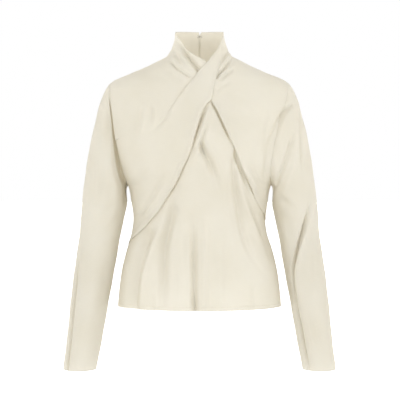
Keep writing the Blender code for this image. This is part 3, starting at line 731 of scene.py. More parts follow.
@dataclass
class Sheet:
    """One grid of cloth: its points, the same points flattened in metres, and where they are lifted to."""

    points: Array
    flat: Array
    out: Array

    @classmethod
    def on_form(cls, places: Array, from_back: bool = False) -> "Sheet":
        """A sheet that lies on the form, flattened as it shows from the front or straight along y."""
        points = FORM.point(places)
        flat = points[..., [0, 2]] if from_back else FORM.seen(points)
        return cls(points, flat, FORM.outward(places))

    def clear(self, edge: Edge, reach: float = 14.0) -> Array:
        """0 on an edge and 1 from reach millimetres inwards, eased."""
        return ease(edge.distance(self.points), 0.0, reach * MM)

    def folds(self, folds: tuple[Fold, ...]) -> Array:
        """The folds' lifts."""
        return drape(self.flat, folds)

    def trim(self, *shapes: Seam | Roll) -> Array:
        """The lifts of seams and rolled edges."""
        return sum(shape.lift(self.points) for shape in shapes)

    def raised(self, lift: Array) -> "Sheet":
        """The sheet with its points moved out by this lift."""
        return Sheet(self.points + self.out * lift[..., None], self.flat, self.out)


@dataclass
class ClothPiece:
    """A sewn piece of cloth: one or more sheets, made a wall, that stand for a CAD node."""

    name: str
    node: str
    wall: float = 0.0007
    held: str = "hung"
    width_row: int | None = None

    def add(self, *sheets: Sheet, closed: bool = False) -> None:
        """Args:
            sheets: the sheets that it is made of. Points of two that share a place are welded.
            closed: whether the sheets run round a tube.
        """
        faces, first = [], 0
        for sheet in sheets:
            rows, across = sheet.points.shape[:2]
            faces.append(quads(rows, across, closed, first))
            first += rows * across
        points = np.concatenate([sheet.points.reshape(-1, 3) for sheet in sheets])
        uv = np.concatenate([sheet.flat.reshape(-1, 2) for sheet in sheets])
        points, uv, faces = self.welded(points, uv, np.concatenate(faces))
        made = mesh_piece(self.name, points, faces, CREPE, uv)
        add_wall(made, self.wall)
        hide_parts(self.node)
        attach(made, "garment")
        width, length, area = self.cut([sheet.points for sheet in sheets])
        LOG.info("%s: %d points, cut %.3f x %.3f m, %.4f m2", self.name, len(points), width, length, area)

    @staticmethod
    def welded(points: Array, uv: Array, faces: Array, apart: float = 1e-5) -> tuple[Array, Array, Array]:
        """Merge points that share a place to a hundredth of a millimetre."""
        _, first, index = np.unique(np.round(points / apart), axis=0, return_index=True, return_inverse=True)
        return points[first], uv[first], index.reshape(-1)[faces]

    def cut(self, grids: list[Array]) -> tuple[float, float, float]:
        """Size of the flat cut.

        Args:
            grids: the piece's grids of points.

        Returns:
            Its width, along width_row or the longest row where that isn't given, its length, down the
            longest column, and its area, the sum of the quads but at least 0.3 of the box round the cut.
        """
        rows = [steps(grid, 1).sum(axis=1) for grid in grids]
        across = max(row.max() for row in rows) if self.width_row is None else rows[0][self.width_row]
        down = max(steps(grid).sum(axis=0).max() for grid in grids)
        area = 0.0
        for grid in grids:
            rising = grid[1:, 1:] - grid[:-1, :-1]
            falling = grid[1:, :-1] - grid[:-1, 1:]
            area += float(np.linalg.norm(np.cross(rising, falling), axis=-1).sum() / 2)
        box = across * down
        return float(across), float(down), float(min(max(area, 0.3 * box), box))


@dataclass
class FrontLeft(ClothPiece):
    """Left front: shoulder and left collar, and the strap that crosses the throat and becomes the bust."""

    name: str = "front_left_cloth"
    node: str = "front_left"
    strap_cells: int = 150
    bust_cells: int = 84
    across: int = 66
    down: int = 150
    over_lift: float = 2.8
    strap_roll: float = 3.0
    hidden_sink: float = 1.2
    phase: float = 0.4
    slack: float = 0.35
    strap_foot: float = 0.022
    join_height: float = -0.185
    side_edge: float = -0.412
    strap_top: Line = ((0.0465, 0.036), (0.0385, 0.018), (0.0330, 0.0105), (0.0240, -0.0018),
                       (0.0185, -0.0100), (0.0130, -0.0150), (-0.0007, -0.0300), (-0.0112, -0.0440),
                       (-0.0253, -0.0598), (-0.0464, -0.0880), (-0.0600, -0.1075), (-0.0715, -0.1220))
    join_line: Line = ((-0.0715, -0.122), (-0.105, -0.140), (-0.142, -0.162))
    strap_low: Line = ((0.0480, -0.004), (0.0390, -0.034), (0.0325, -0.064), (0.0275, -0.0905),
                       (0.0165, -0.102), (0.0070, -0.117), (-0.0050, -0.153), (-0.0140, -0.184))
    bust_low: Line = ((-0.0140, -0.184), (-0.0205, -0.208), (-0.0360, -0.241), (-0.0505, -0.274),
                      (-0.0690, -0.304), (-0.0855, -0.333), (-0.1085, -0.361), (-0.1300, -0.3835))
    neckline: Line = ((-0.0430, 0.036), (-0.0320, 0.019), (-0.0183, 0.0106), (-0.0042, 0.0018),
                      (0.0085, -0.0053), (0.0180, -0.0115), (0.0290, -0.017))
    hidden: Line = ((0.0290, -0.017), (0.0160, -0.040), (-0.0010, -0.055), (-0.0200, -0.0690),
                    (-0.0330, -0.0790), (-0.0450, -0.0900), (-0.0560, -0.1025), (-0.0715, -0.122))
    collar_folds: tuple[Fold, ...] = (
        Fold(((-52, 44), (-43, 26), (-32, 10), (-21, -2), (-11, -14), (2, -32)), 4.6, -8.5, 0.35, 0.02),
        Fold(((-50, 42), (-41, 27), (-30, 12), (-19, 0), (-9, -12), (2, -28)), 7.0, -3.6, 0.2, 0.1),
        Fold(((-50, 24), (-37, 2), (-24, -16), (-9, -34)), 4.4, 3.4, 0.3, 0.1),
        Fold(((-57, 20), (-52, 6), (-45, -6), (-38, -16)), 4.0, -2.6, 0.2, 0.4),
        Fold(((-66, -5), (-55, -19), (-43, -28), (-19, -44)), 3.0, -4.0, 0.2, 0.15),
        Fold(((-62, 2), (-50, -13), (-33, -26)), 4.4, 2.4, 0.2, 0.4),
        Fold(((-80, -22), (-58, -36), (-34, -50)), 8.0, -1.8),
        Fold(((-135, -37), (-98, -40), (-60, -47)), 10.0, -1.6),
    )
    chest_folds: tuple[Fold, ...] = (
        Fold(((-133, -96), (-134, -130), (-148, -180), (-158, -215)), 8.0, -4.2, 0.3, 0.5),
        Fold(((-107, -98), (-106, -124), (-114, -158)), 6.0, -3.2, 0.3, 0.5),
        Fold(((-120, -96), (-120, -128), (-131, -175)), 7.5, 2.4),
        Fold(((-62, -112), (-74, -127), (-90, -147), (-110, -167)), 5.0, -4.2, 0.3, 0.6),
        Fold(((-20, -204), (-36, -234), (-52, -264)), 3.0, -3.4, 0.4, 0.4),
        Fold(((-8, -172), (-26, -212), (-46, -250), (-66, -284)), 5.0, 2.0, 0.3, 0.4),
        Fold(((-71, -248), (-92, -286), (-118, -330), (-140, -352)), 6.5, -4.6, 0.3, 0.2),
        Fold(((-74, -276), (-96, -316), (-122, -350)), 6.0, 3.6),
        Fold(((-112, -240), (-130, -270), (-150, -290)), 8.0, -3.0),
        Fold(((-104, -352), (-124, -374), (-140, -394)), 4.0, -3.0, 0.4, 0.2),
        Fold(((-52, -128), (-76, -168), (-98, -226)), 13.0, -1.8),
        Fold(((-10, -112), (-34, -156), (-62, -205)), 11.0, -1.2),
    )

    def build(self) -> None:
        """Fill the shoulder sheet and the band, lift both and make them one piece."""
        height = np.float64(self.join_height)
        join_end = np.array([-FORM.outer_angle(-1, height), FORM.level_of(height)])
        join = FORM.trace(self.join_line, self.bust_cells + 1, end=join_end)
        self.add(self.shoulder(join), self.band(join))

    def shoulder(self, join: Array) -> Sheet:
        """The shoulder and the left collar, down to the join line."""
        neck_side = np.array([-math.pi / 2, 0.0])
        hidden = FORM.trace(self.hidden, self.down)
        outer = FORM.outer(-1, FORM.collar_top, self.join_height, self.down)
        neckline = FORM.trace(self.neckline, self.bust_cells + 1, start=neck_side)[::-1]
        sheet = Sheet.on_form(filled(neckline, join, hidden, outer))
        keep, fade = sheet.clear(Edge.LAST), sheet.clear(Edge.FOOT, 10.0)
        lift = sheet.folds(self.collar_folds) * fade * keep
        lift += (sheet.folds(self.chest_folds) + ripple(sheet.flat, self.phase, self.slack)) * keep
        below_shoulder = ease(FORM.armhole_top - sheet.points[..., 2], 0.035, 0.08)
        lift += sheet.trim(Roll(Edge.LAST, 0.9, 6.0, 0.7)) * below_shoulder
        lift += sheet.trim(Roll(Edge.TOP, 0.8, 5.0, 0.8)) * fade
        lift -= self.hidden_sink * MM * (1 - sheet.clear(Edge.FIRST, 20.0)) * fade
        return sheet.raised(lift)

    def band(self, join: Array) -> Sheet:
        """The strap and the left bust, which share the join line with the shoulder.

        u runs along the band from the collar's right side, and v across it from its upper edge. The strap
        lies over_lift over the form up to the pleat, where the join line starts, and its lower edge does so
        all along.
        """
        collar_end = FORM.side(1, FORM.collar_top, self.strap_foot, self.across)
        strap_top = FORM.trace(self.strap_top, self.strap_cells + 1, start=collar_end[0])
        strap_low = FORM.trace(self.strap_low, self.strap_cells + 1, start=collar_end[-1])
        foot_end = FORM.side(-1, FORM.underarm, self.side_edge, 2)[-1]
        bust_low = FORM.trace(self.bust_low, self.bust_cells + 1, end=foot_end)
        side = FORM.outer(-1, self.join_height, self.side_edge, self.across)
        top, low = np.concatenate([strap_top, join[1:]]), np.concatenate([strap_low, bust_low[1:]])
        sheet = Sheet.on_form(filled(top, low, collar_end, side, 3.0))
        u, v = np.linspace(0, 1, len(top))[None, :], Edge.TOP.share(sheet.points)
        pleat = self.strap_cells / (self.strap_cells + self.bust_cells)
        rise, bust, crossed = ease(u, 0.0, 0.16), ease(u, 0.8 * pleat, pleat), ease(u, 0.30, 0.40)
        strap = rise * (1 - ease(u, 0.70 * pleat, pleat))
        edge = rise * ease(v, 0.30, 0.95) * (1 - 0.75 * ease(u, 0.85, 1.0))
        hump = ease(u, 0.0, 0.2) * (1 - ease(u, 0.5 * pleat, pleat)) * np.sin(math.pi * v)
        lift = (self.over_lift * (strap + edge - strap * edge) + self.strap_roll * hump) * MM
        keep = sheet.clear(Edge.LAST) * sheet.clear(Edge.FIRST, 10.0)
        lift += (sheet.folds(self.chest_folds) + ripple(sheet.flat, self.phase, self.slack)) * keep * bust
        lift += sheet.trim(Seam(Edge.LAST), Seam(Edge.FIRST, 0.6, pucker=0.3))
        lift += sheet.trim(Roll(Edge.TOP, 1.4, 7.0, 0.9)) * strap
        lift += sheet.trim(Roll(Edge.FOOT, 0.0, turn_under=0.4)) * ease(u, 0.02, 0.1) * (1 - crossed)
        lift += sheet.trim(Roll(Edge.FOOT, 2.4, 9.0, 2.0, 2.2)) * crossed * (1 - ease(u, 0.92, 1.0))
        return sheet.raised(lift)


RIGHT_ARMHOLE_FOLDS = (
    Fold(((214, -104), (206, -106), (195, -112), (184, -126), (169, -152), (156, -190), (147, -238),
          (143, -272)), 6.0, -5.0, 0.15, 0.1),
    Fold(((214, -101), (202, -107), (188, -119), (177, -137)), 3.6, -4.0),
    Fold(((150, -120), (140, -160), (134, -210)), 12.0, 1.6),
)


@dataclass
class FrontRight(ClothPiece):
    """Right front: gathered at the neck under the strap, with a long rolled edge over the lower front."""

    name: str = "front_right_cloth"
    node: str = "front_right"
    across: int = 150
    under_cells: int = 84
    edge_cells: int = 130
    under_lift: float = 1.6
    neck_sink: float = 1.3
    foot_lift: float = 1.4
    phase: float = 2.3
    slack: float = 0.35
    neck_top: float = 0.030
    neck_foot: float = 0.006
    side_edge: float = -0.360
    hidden: Line = ((0.0400, -0.010), (0.0310, -0.036), (0.0260, -0.064), (0.0248, -0.084), (0.0262, -0.095))
    free_edge: Line = ((0.0262, -0.095), (0.0380, -0.114), (0.0504, -0.141), (0.0627, -0.167),
                       (0.0750, -0.1935), (0.0830, -0.213), (0.0965, -0.248), (0.1130, -0.285),
                       (0.1290, -0.324))
    folds: tuple[Fold, ...] = (
        Fold(((62, 20), (57, 6), (51, -8), (47, -18)), 3.0, -1.2, 0.3, 0.2),
        Fold(((69, 8), (58, -6), (49, -20), (43, -30)), 3.4, 3.0, 0.3, 0.1),
        Fold(((72, 2), (63, -14), (52, -28), (43, -36), (37, -46)), 2.6, -6.5, 0.5, 0.02),
        Fold(((82, -14), (64, -28), (50, -38), (41, -46)), 3.6, 3.4, 0.4, 0.1),
        Fold(((78, -22), (64, -34), (52, -44), (43, -50), (36, -56)), 3.6, -4.0, 0.4, 0.3),
        Fold(((70, -52), (50, -62), (34, -74)), 5.0, -2.4, 0.4, 0.2),
        Fold(((44, -42), (36, -70), (32, -88)), 5.0, 1.2, 0.2, 0.3),
        Fold(((120, -98), (86, -84), (46, -76)), 11.0, -1.6),
        Fold(((99, -240), (116, -272), (132, -302)), 5.5, 3.4, 0.4, 0.4),
        Fold(((104, -226), (124, -262), (146, -296)), 6.0, -3.0),
        Fold(((60, -120), (88, -180), (124, -250)), 15.0, 1.6),
        Fold(((160, -118), (146, -170), (146, -226)), 9.0, -3.4),
        Fold(((120, -120), (118, -180), (132, -236)), 12.0, -1.4),
    )

    def build(self) -> None:
        """Fill the sheet between the neck, the side seam and its two long edges, and lift it.

        u runs across it from its long inner edge, and v down it from the neck. The inner edge lies
        under_lift over the form, half of it below the crossing.
        """
        neck = FORM.side(1, self.neck_top, self.neck_foot, self.across)
        foot = FORM.side(1, FORM.underarm, self.side_edge, self.across)[::-1]
        inner = np.concatenate([
            FORM.trace(self.hidden, self.under_cells + 1, start=neck[0]),
            FORM.trace(self.free_edge, self.edge_cells + 1, end=foot[0])[1:],
        ])
        outer = FORM.outer(1, self.neck_foot, FORM.underarm, len(inner))
        sheet = Sheet.on_form(filled(neck, foot, inner, outer, 2.0))
        u, v = np.linspace(0, 1, self.across)[None, :], np.linspace(0, 1, len(inner))[:, None]
        keep = sheet.clear(Edge.LAST) * sheet.clear(Edge.FOOT) * sheet.clear(Edge.TOP, 10.0)
        near_neck = 1 - ease(Edge.TOP.distance(sheet.points), 0.004, 0.020)
        under = (1 - ease(u, 0.3, 0.9)) * ease(v, 0.02, 0.12) * (1 - 0.5 * ease(v, 0.4, 0.6))
        corner = (1 - ease(u, 0.0, 0.8)) * ease(v, 0.85, 1.0)
        lift = (self.under_lift * under - self.neck_sink * near_neck + self.foot_lift * corner) * MM
        lift += (sheet.folds(self.folds) + ripple(sheet.flat, self.phase, self.slack)) * keep
        free = ease(v, 0.40, 0.50) * (1 - ease(v, 0.70, 0.86))
        lift += sheet.trim(Roll(Edge.FIRST, 2.4, 11.0, 1.6, 2.2)) * free
        lift = lift * (1 - 0.7 * ease(v, 0.94, 1.0)) + sheet.folds(RIGHT_ARMHOLE_FOLDS)
        self.add(sheet.raised(lift + sheet.trim(Seam(Edge.FOOT))))


@dataclass
class FrontLower(ClothPiece):
    """Lower front: from the hem to a point under the crossing, with the folds that the crossing pulls up."""

    name: str = "front_lower_cloth"
    node: str = "front_lower"
    width_row: int | None = -1
    half: int = 84
    down: int = 220
    sink: float = 1.6
    left_top: float = -0.401
    right_top: float = -0.349
    stitch_rise: float = 8.0
    phase: float = 5.1
    slack: float = 0.4
    top_left: Line = ((-0.1358, -0.381), (-0.1176, -0.355), (-0.0941, -0.326), (-0.0776, -0.297),
                      (-0.0600, -0.269), (-0.0460, -0.2365), (-0.0308, -0.205), (-0.0245, -0.181),
                      (-0.0155, -0.150), (-0.0035, -0.1135), (0.0220, -0.084))
    top_right: Line = ((0.0220, -0.084), (0.0465, -0.1095), (0.0590, -0.136), (0.0715, -0.1625),
                       (0.0840, -0.189), (0.0925, -0.209), (0.1060, -0.244), (0.1225, -0.281),
                       (0.1375, -0.318))
    folds: tuple[Fold, ...] = (
        Fold(((16.5, -103), (7.5, -122), (-1.5, -144), (-8.5, -165), (-13.5, -186), (-21, -212)), 3.2, -9.5,
              0.4, 0.6),
        Fold(((-19, -200), (-36, -240), (-51, -274), (-86, -330)), 3.0, -2.6, 0.2, 0.3),
        Fold(((29, -98), (39.5, -117), (51.5, -142), (62.5, -167), (74, -194)), 3.0, -8.5, 0.03, 0.5),
        Fold(((76, -190), (85, -213), (98, -246), (114, -282), (128, -316)), 3.0, -5.0, 0.2, 0.3),
        Fold(((24, -100), (16, -126), (8, -156), (1, -184), (-8, -214), (-24, -250)), 4.2, 4.0, 0.1, 0.6),
        Fold(((19, -132), (13, -154), (7, -174), (4, -190), (9, -208), (19, -228)), 3.8, -7.5, 0.5, 0.4),
        Fold(((2, -178), (9, -203), (23, -231), (40, -277), (46, -310)), 8.0, -11.0, 0.15, 0.8),
        Fold(((24, -180), (33, -212), (48, -256), (60, -300)), 8.0, 3.2, 0.3, 0.6),
        Fold(((77, -200), (84, -222), (94, -250), (108, -286), (124, -326)), 4.6, -9.5, 0.15, 0.75),
        Fold(((76, -206), (77, -250), (82, -300), (90, -350), (99, -395), (112, -430), (132, -462),
              (154, -488)), 7.0, -7.0, 0.1, 0.5),
        Fold(((86, -262), (98, -310), (116, -362), (142, -420)), 7.0, 5.0),
        Fold(((110, -310), (126, -356), (148, -410), (168, -470)), 7.5, -3.6),
        Fold(((60, -230), (62, -310), (72, -400), (80, -480)), 9.0, 2.2),
        Fold(((-50, -300), (-62, -342), (-73, -384), (-80, -425), (-82, -500), (-80, -570)), 11.0, -14.0,
              0.25, 0.35),
        Fold(((97, -246), (113, -282), (129, -318), (140, -345)), 9.0, 1.2, 0.3, 0.05),
        Fold(((-76, -346), (-86, -376), (-104, -424), (-122, -490), (-128, -560)), 8.0, 7.0, 0.3, 0.1),
        Fold(((-108, -368), (-122, -404), (-138, -452), (-148, -520), (-150, -575)), 12.0, -15.0, 0.2, 0.1),
        Fold(((-11, -505), (-10, -575)), 4.0, -8.0, 0.7, 0.02),
        Fold(((-97, -451), (-102, -490), (-104, -560)), 6.0, -2.4, 0.4, 0.1),
        Fold(((-17, -330), (-13, -403), (-12, -469), (-11, -575)), 7.5, -13.0, 0.5, 0.02),
        Fold(((8, -330), (11, -420), (12, -575)), 7.0, 5.0, 0.4, 0.02),
        Fold(((-36, -330), (-40, -430), (-42, -575)), 9.0, 2.8, 0.4, 0.02),
        Fold(((48, -380), (52, -470), (50, -575)), 9.0, -2.8, 0.4, 0.02),
        Fold(((118, -470), (122, -520), (126, -575)), 8.0, -2.6, 0.4, 0.02),
    )

    def build(self) -> None:
        """Fill the sheet, sink its top under the bust and lift its folds."""
        left = FORM.side(-1, self.left_top, FORM.hem, self.down)
        right = FORM.side(1, self.right_top, FORM.hem, self.down)
        top = np.concatenate([
            FORM.trace(self.top_left, self.half + 1, start=left[0]),
            FORM.trace(self.top_right, self.half, end=right[0])[1:],
        ])
        angles = np.linspace(left[-1, 0], right[-1, 0], len(top))
        hem = np.stack([angles, np.full(len(top), left[-1, 1])], axis=-1)
        sheet = Sheet.on_form(filled(top, hem, left, right))
        v = np.linspace(0, 1, self.down)[:, None]
        keep = sheet.clear(Edge.FIRST, 16.0) * sheet.clear(Edge.LAST, 16.0)
        lift = sheet.folds(self.folds) * keep - self.sink * MM * (1 - ease(v, 0.05, 0.5))
        lift += ripple(sheet.flat, self.phase, self.slack) * keep * ease(v, 0.05, 0.2)
        stitched = Seam(Edge.FOOT, 0.70, 0.9, 0.12, 5.0, self.stitch_rise)
        self.add(sheet.raised(lift + sheet.trim(Seam(Edge.FIRST), Seam(Edge.LAST), stitched)))


@dataclass
class Back(ClothPiece):
    """One back: centre back seam with the zip, shoulder, armhole and side seams, and the hem."""

    name: str = "back_cloth"
    node: str = "back"
    side: int = 1
    across: int = 96
    down: int = 260
    notch_foot: float = 0.0480
    notch_width: float = 0.0012
    seam_gap: float = 0.0001
    phase: float = 1.3
    slack: float = 0.45
    folds: tuple[Fold, ...] = ()

    def build(self) -> None:
        """Fill the sheet and lift its seams and folds. It is flattened as it shows from the back."""
        outer = FORM.outer(self.side, FORM.collar_top, FORM.hem, self.down)
        outer[:, 0] = self.side * math.pi - outer[:, 0]
        heights = FORM.height_of(np.linspace(0, FORM.level_of(FORM.hem), self.down))
        open_share = np.clip((heights - self.notch_foot) / (FORM.collar_top - self.notch_foot), 0, 1)
        seam = (self.seam_gap + self.notch_width * open_share) / FORM.size(heights, "half_width")
        inner = np.stack([self.side * (math.pi - seam), FORM.level_of(heights)], axis=-1)
        share = np.linspace(0, 1, self.across)[:, None]
        collar, hem = (inner[row] * (1 - share) + outer[row] * share for row in (0, -1))
        sheet = Sheet.on_form(filled(collar, hem, inner, outer), from_back=True)
        keep = sheet.clear(Edge.FIRST) * sheet.clear(Edge.LAST)
        lift = (sheet.folds(self.folds) + ripple(sheet.flat, self.phase + self.side, self.slack)) * keep
        lift += sheet.trim(Seam(Edge.FIRST, 1.1, 1.1, 0.10, 9.0), Seam(Edge.LAST),
                           Seam(Edge.FOOT, 0.45, 0.9, 0.10, 5.0, 8.0), Roll(Edge.TOP, 0.5, 4.0, 0.4))
        self.add(sheet.raised(lift))


@dataclass
class Sleeve(ClothPiece):
    """A long sleeve set low on the shoulder, a tube with a seam along its back."""

    name: str = "sleeve_cloth"
    node: str = "sleeve"
    width_row: int | None = 80
    side: int = 1
    around: int = 176
    cap: int = 80
    arm: int = 120
    set_height: float = -0.335
    cuff: float = -0.682
    leave_out: float = 0.90
    leave_forward: float = 0.30
    leave_down: tuple[float, float] = (0.41, 0.86)
    leave_reach: tuple[float, float] = (0.030, 0.018)
    ring_reach: float = 0.45
    tuck_under: float = 1.4
    mean_radius: float = 0.045
    phase: float = 0.7
    slack: float = 0.5
    seam_degrees: float = 205.0
    seam_depth: float = 0.9
    seam_width: float = 1.6
    gap_depth: float = 0.0
    gap_widths: tuple[float, float] = (3.0, 13.0)
    gap_heights: tuple[float, float] = (0.130, 0.285)
    front_folds: tuple[Fold, ...] = ()
    seam_folds: tuple[Fold, ...] = ()
    back_folds: tuple[Fold, ...] = ()
    sizes: dict[str, Array] = field(default_factory=lambda: rings(
        height=(-0.335, -0.403, -0.473, -0.543, -0.614, -0.682),
        out=(0.2105, 0.2210, 0.2320, 0.2420, 0.2510, 0.2610),
        half_width=(0.0485, 0.0445, 0.0438, 0.0412, 0.0385, 0.0356),
        centre=(0.0040, 0.0040, 0.0000, -0.0080, -0.0180, -0.0280),
        half_depth=(0.0580, 0.0540, 0.0510, 0.0480, 0.0450, 0.0415)))

    def size(self, height: Array, column: str) -> Array:
        """A size of the sleeve's ring at each height."""
        return smooth_through(height, self.sizes["height"], self.sizes[column])

    def ring(self, turn: Array, height: Array) -> Array:
        """Points of the rings: out + half width cos t, centre - half depth sin t."""
        out = self.size(height, "out") + self.size(height, "half_width") * np.cos(turn)
        depth = self.size(height, "centre") - self.size(height, "half_depth") * np.sin(turn)
        return np.stack(np.broadcast_arrays(self.side * out, depth, height), axis=-1)

    def armhole(self, turn: Array) -> tuple[Array, Array]:
        """Points of the armhole seam, tucked under where the body's edge stands proud, and their normals."""
        middle, reach = (FORM.armhole_top + FORM.underarm) / 2, (FORM.armhole_top - FORM.underarm) / 2
        height = middle + reach * np.cos(turn)
        angle = FORM.hole_angle(self.side, height)
        angle = np.where(np.sin(turn) >= 0, angle, math.pi - angle)
        places = np.stack([self.side * angle, FORM.level_of(height)], axis=-1)
        tuck = 0.2 + self.tuck_under * np.clip(np.sin(turn), 0.25, 1) * ease(1 - np.cos(turn), 0.35, 1.0)
        out = FORM.outward(places)
        return FORM.point(places) - out * tuck[..., None] * MM, out

    def tube(self, turn: Array) -> Array:
        """Points of the smooth sleeve: cubic curves from the armhole to the first ring, then the rings."""
        low = (1 - np.cos(turn)) / 2
        start = self.armhole(turn)[0]
        down, reach = (a + (b - a) * low for a, b in (self.leave_down, self.leave_reach))
        out = self.side * self.leave_out * np.ones_like(turn)
        leave = unit(np.stack([out, -self.leave_forward * np.sin(turn), -down], axis=-1))
        ring = self.ring(turn, np.float64(self.set_height))
        chord = ring - start
        rise = unit(ring - self.ring(turn, np.float64(self.set_height - 0.02)))
        rise *= self.ring_reach * np.linalg.norm(chord, axis=-1, keepdims=True)
        t = np.linspace(0, 1, self.cap + 1)[:, None, None]
        upper = (1 - t) ** 3 * start + 3 * t * (1 - t) ** 2 * (start + leave * reach[..., None])
        upper = upper + 3 * t * t * (1 - t) * (ring + rise) + t**3 * ring
        heights = np.linspace(self.set_height, self.cuff, self.arm + 1)[1:, None]
        return np.concatenate([upper, self.ring(turn, heights)])

    def build(self) -> None:
        """Lift the tube's folds, its back seam and its hem stitching, and set its armhole's gap back."""
        turn = np.linspace(0, FULL_TURN, self.around, endpoint=False)[None, :]
        points = self.tube(turn)
        z = points[..., 2]
        away = Edge.TOP.distance(points)
        front = ease(np.sin(turn), -0.15, 0.25)
        lift = drape(FORM.seen(points), self.front_folds) * front
        lift += drape(points[..., [0, 2]], self.back_folds) * (1 - front)
        seamless = np.cos(turn) * 0.04 + z * 0.2
        lift = lift + ripple(np.stack([seamless, z], axis=-1), self.phase + self.side, self.slack)
        lift = lift * ease(away, 0.0, 0.012)
        lift += drape(FORM.seen(points), self.seam_folds) * front
        beside = np.abs(turn - math.radians(self.seam_degrees)) * self.mean_radius
        lift -= self.seam_depth * MM * bell(beside, self.seam_width * MM)
        lift += Seam(Edge.FOOT, 0.45, 0.9, 0.10, 5.0, 10.0).lift(points)
        seam_out = self.armhole(turn)[1]
        out = grid_normals(points, True) * -self.side
        out = unit(seam_out + (out - seam_out) * ease(away, 0.0, 0.02)[..., None])
        arc = np.broadcast_to(self.mean_radius * turn, z.shape)
        sheet = Sheet(points, np.stack([arc, z], axis=-1), out).raised(lift)
        sheet.flat[..., 1] = sheet.points[..., 2]
        sheet.points[..., 1] += self.set_back(sheet.points) * front
        self.add(sheet, closed=True)

    def set_back(self, points: Array) -> Array:
        """How far the cloth beside the armhole lies behind the body's edge: a gap that widens downwards."""
        height = points[..., 2]
        beside = np.abs(points[..., 0]) - FORM.hole_width(self.side, height)
        low = ease(-height, *self.gap_heights)
        width = (self.gap_widths[0] + (self.gap_widths[1] - self.gap_widths[0]) * low) * MM
        deep = (1 - ease(beside / width, 0.6, 1.0)) * ease(-height, 0.090, 0.140)
        edge = 0.16 * bell(beside / width - 1.7, 0.7) * low
        return self.gap_depth * MM * (deep - edge) * (1 - ease(-height, 0.300, 0.335))


LEFT_SLEEVE_FRONT = (
    Fold(((-225, -118), (-227, -190), (-222, -260), (-224, -350)), 9.0, -3.4),
    Fold(((-206, -150), (-203, -220), (-196, -300)), 9.0, 2.4),
    Fold(((-263, -420), (-268, -465), (-274, -520), (-280, -575), (-292, -690)), 2.0, -9.0, 0.3, 0.02),
    Fold(((-266, -420), (-271, -465), (-277, -520), (-283, -575), (-295, -690)), 1.8, 2.4, 0.3, 0.02),
    Fold(((-178, -300), (-196, -330), (-222, -352)), 8.0, -1.5),
    Fold(((-176, -326), (-194, -352), (-226, -378)), 8.0, 1.2),
    Fold(((-190, -372), (-212, -392), (-240, -402)), 9.0, -1.2),
    Fold(((-226, -400), (-236, -470), (-240, -560), (-250, -640)), 12.0, 1.8),
    Fold(((-204, -430), (-212, -520), (-226, -600)), 10.0, -2.2),
)
RIGHT_SLEEVE_FRONT = (
    Fold(((241, -690), (231, -647), (222, -598), (213, -552), (207, -515), (206, -478), (212, -438),
          (226, -387), (237, -348), (249, -304)), 3.4, -12.0, 0.1, 0.2),
    Fold(((254, -310), (242, -352), (232, -388), (219, -436), (214, -478), (218, -520), (232, -600)), 13.0,
          8.0, 0.25, 0.5, Crease.TUCK),
    Fold(((200, -470), (203, -540), (218, -610)), 7.0, -3.0),
    Fold(((222, -100), (224, -160), (224, -215), (228, -262)), 3.4, -5.5, 0.25, 0.4),
    Fold(((210, -160), (200, -196), (186, -236), (170, -276), (160, -300)), 5.0, -5.5, 0.25, 0.25),
    Fold(((214, -190), (206, -236), (190, -282), (178, -316)), 7.0, 3.6),
    Fold(((172, -300), (196, -326), (222, -338)), 8.0, -3.2),
    Fold(((246, -380), (252, -440), (256, -500)), 8.0, -3.0),
    Fold(((180, -352), (190, -400), (196, -450)), 8.0, 2.4),
    Fold(((238, -560), (250, -610), (262, -660)), 8.0, -2.2),
)
BACK_FOLDS_LEFT = (
    Fold(((-150, -286), (-118, -316), (-78, -338)), 9.0, -6.6),
    Fold(((-148, -320), (-112, -350), (-70, -368)), 9.0, 4.8),
    Fold(((-146, -366), (-104, -388), (-56, -396)), 10.0, -5.7),
    Fold(((-60, -390), (-72, -460), (-88, -560)), 11.0, -6.2, 0.4, 0.02),
    Fold(((-104, -410), (-116, -470), (-128, -560)), 10.0, 5.7, 0.4, 0.02),
    Fold(((-30, -400), (-34, -480), (-36, -575)), 11.0, 4.4, 0.4, 0.02),
    Fold(((-150, -150), (-132, -200), (-140, -256)), 10.0, -6.2),
    Fold(((-60, -20), (-78, -60), (-104, -100)), 10.0, -3.1),
    Fold(((-40, 12), (-24, 0), (-8, -2)), 7.0, -2.6),
)
BACK_FOLDS_RIGHT = (
    Fold(((148, -292), (110, -324), (66, -342)), 9.0, -5.7),
    Fold(((146, -334), (104, -360), (58, -372)), 9.0, 5.3),
    Fold(((144, -376), (98, -398), (44, -404)), 9.0, -6.2),
    Fold(((52, -400), (60, -470), (76, -560)), 11.0, -5.3, 0.4, 0.02),
    Fold(((96, -420), (110, -480), (118, -560)), 9.0, 6.2, 0.4, 0.02),
    Fold(((138, -430), (150, -490), (158, -560)), 9.0, -4.8, 0.4, 0.02),
    Fold(((146, -130), (126, -186), (134, -250)), 10.0, -5.3),
    Fold(((72, -18), (92, -64), (120, -96)), 10.0, -3.5),
    Fold(((44, 8), (28, -6), (10, -4)), 7.0, -2.2),
)
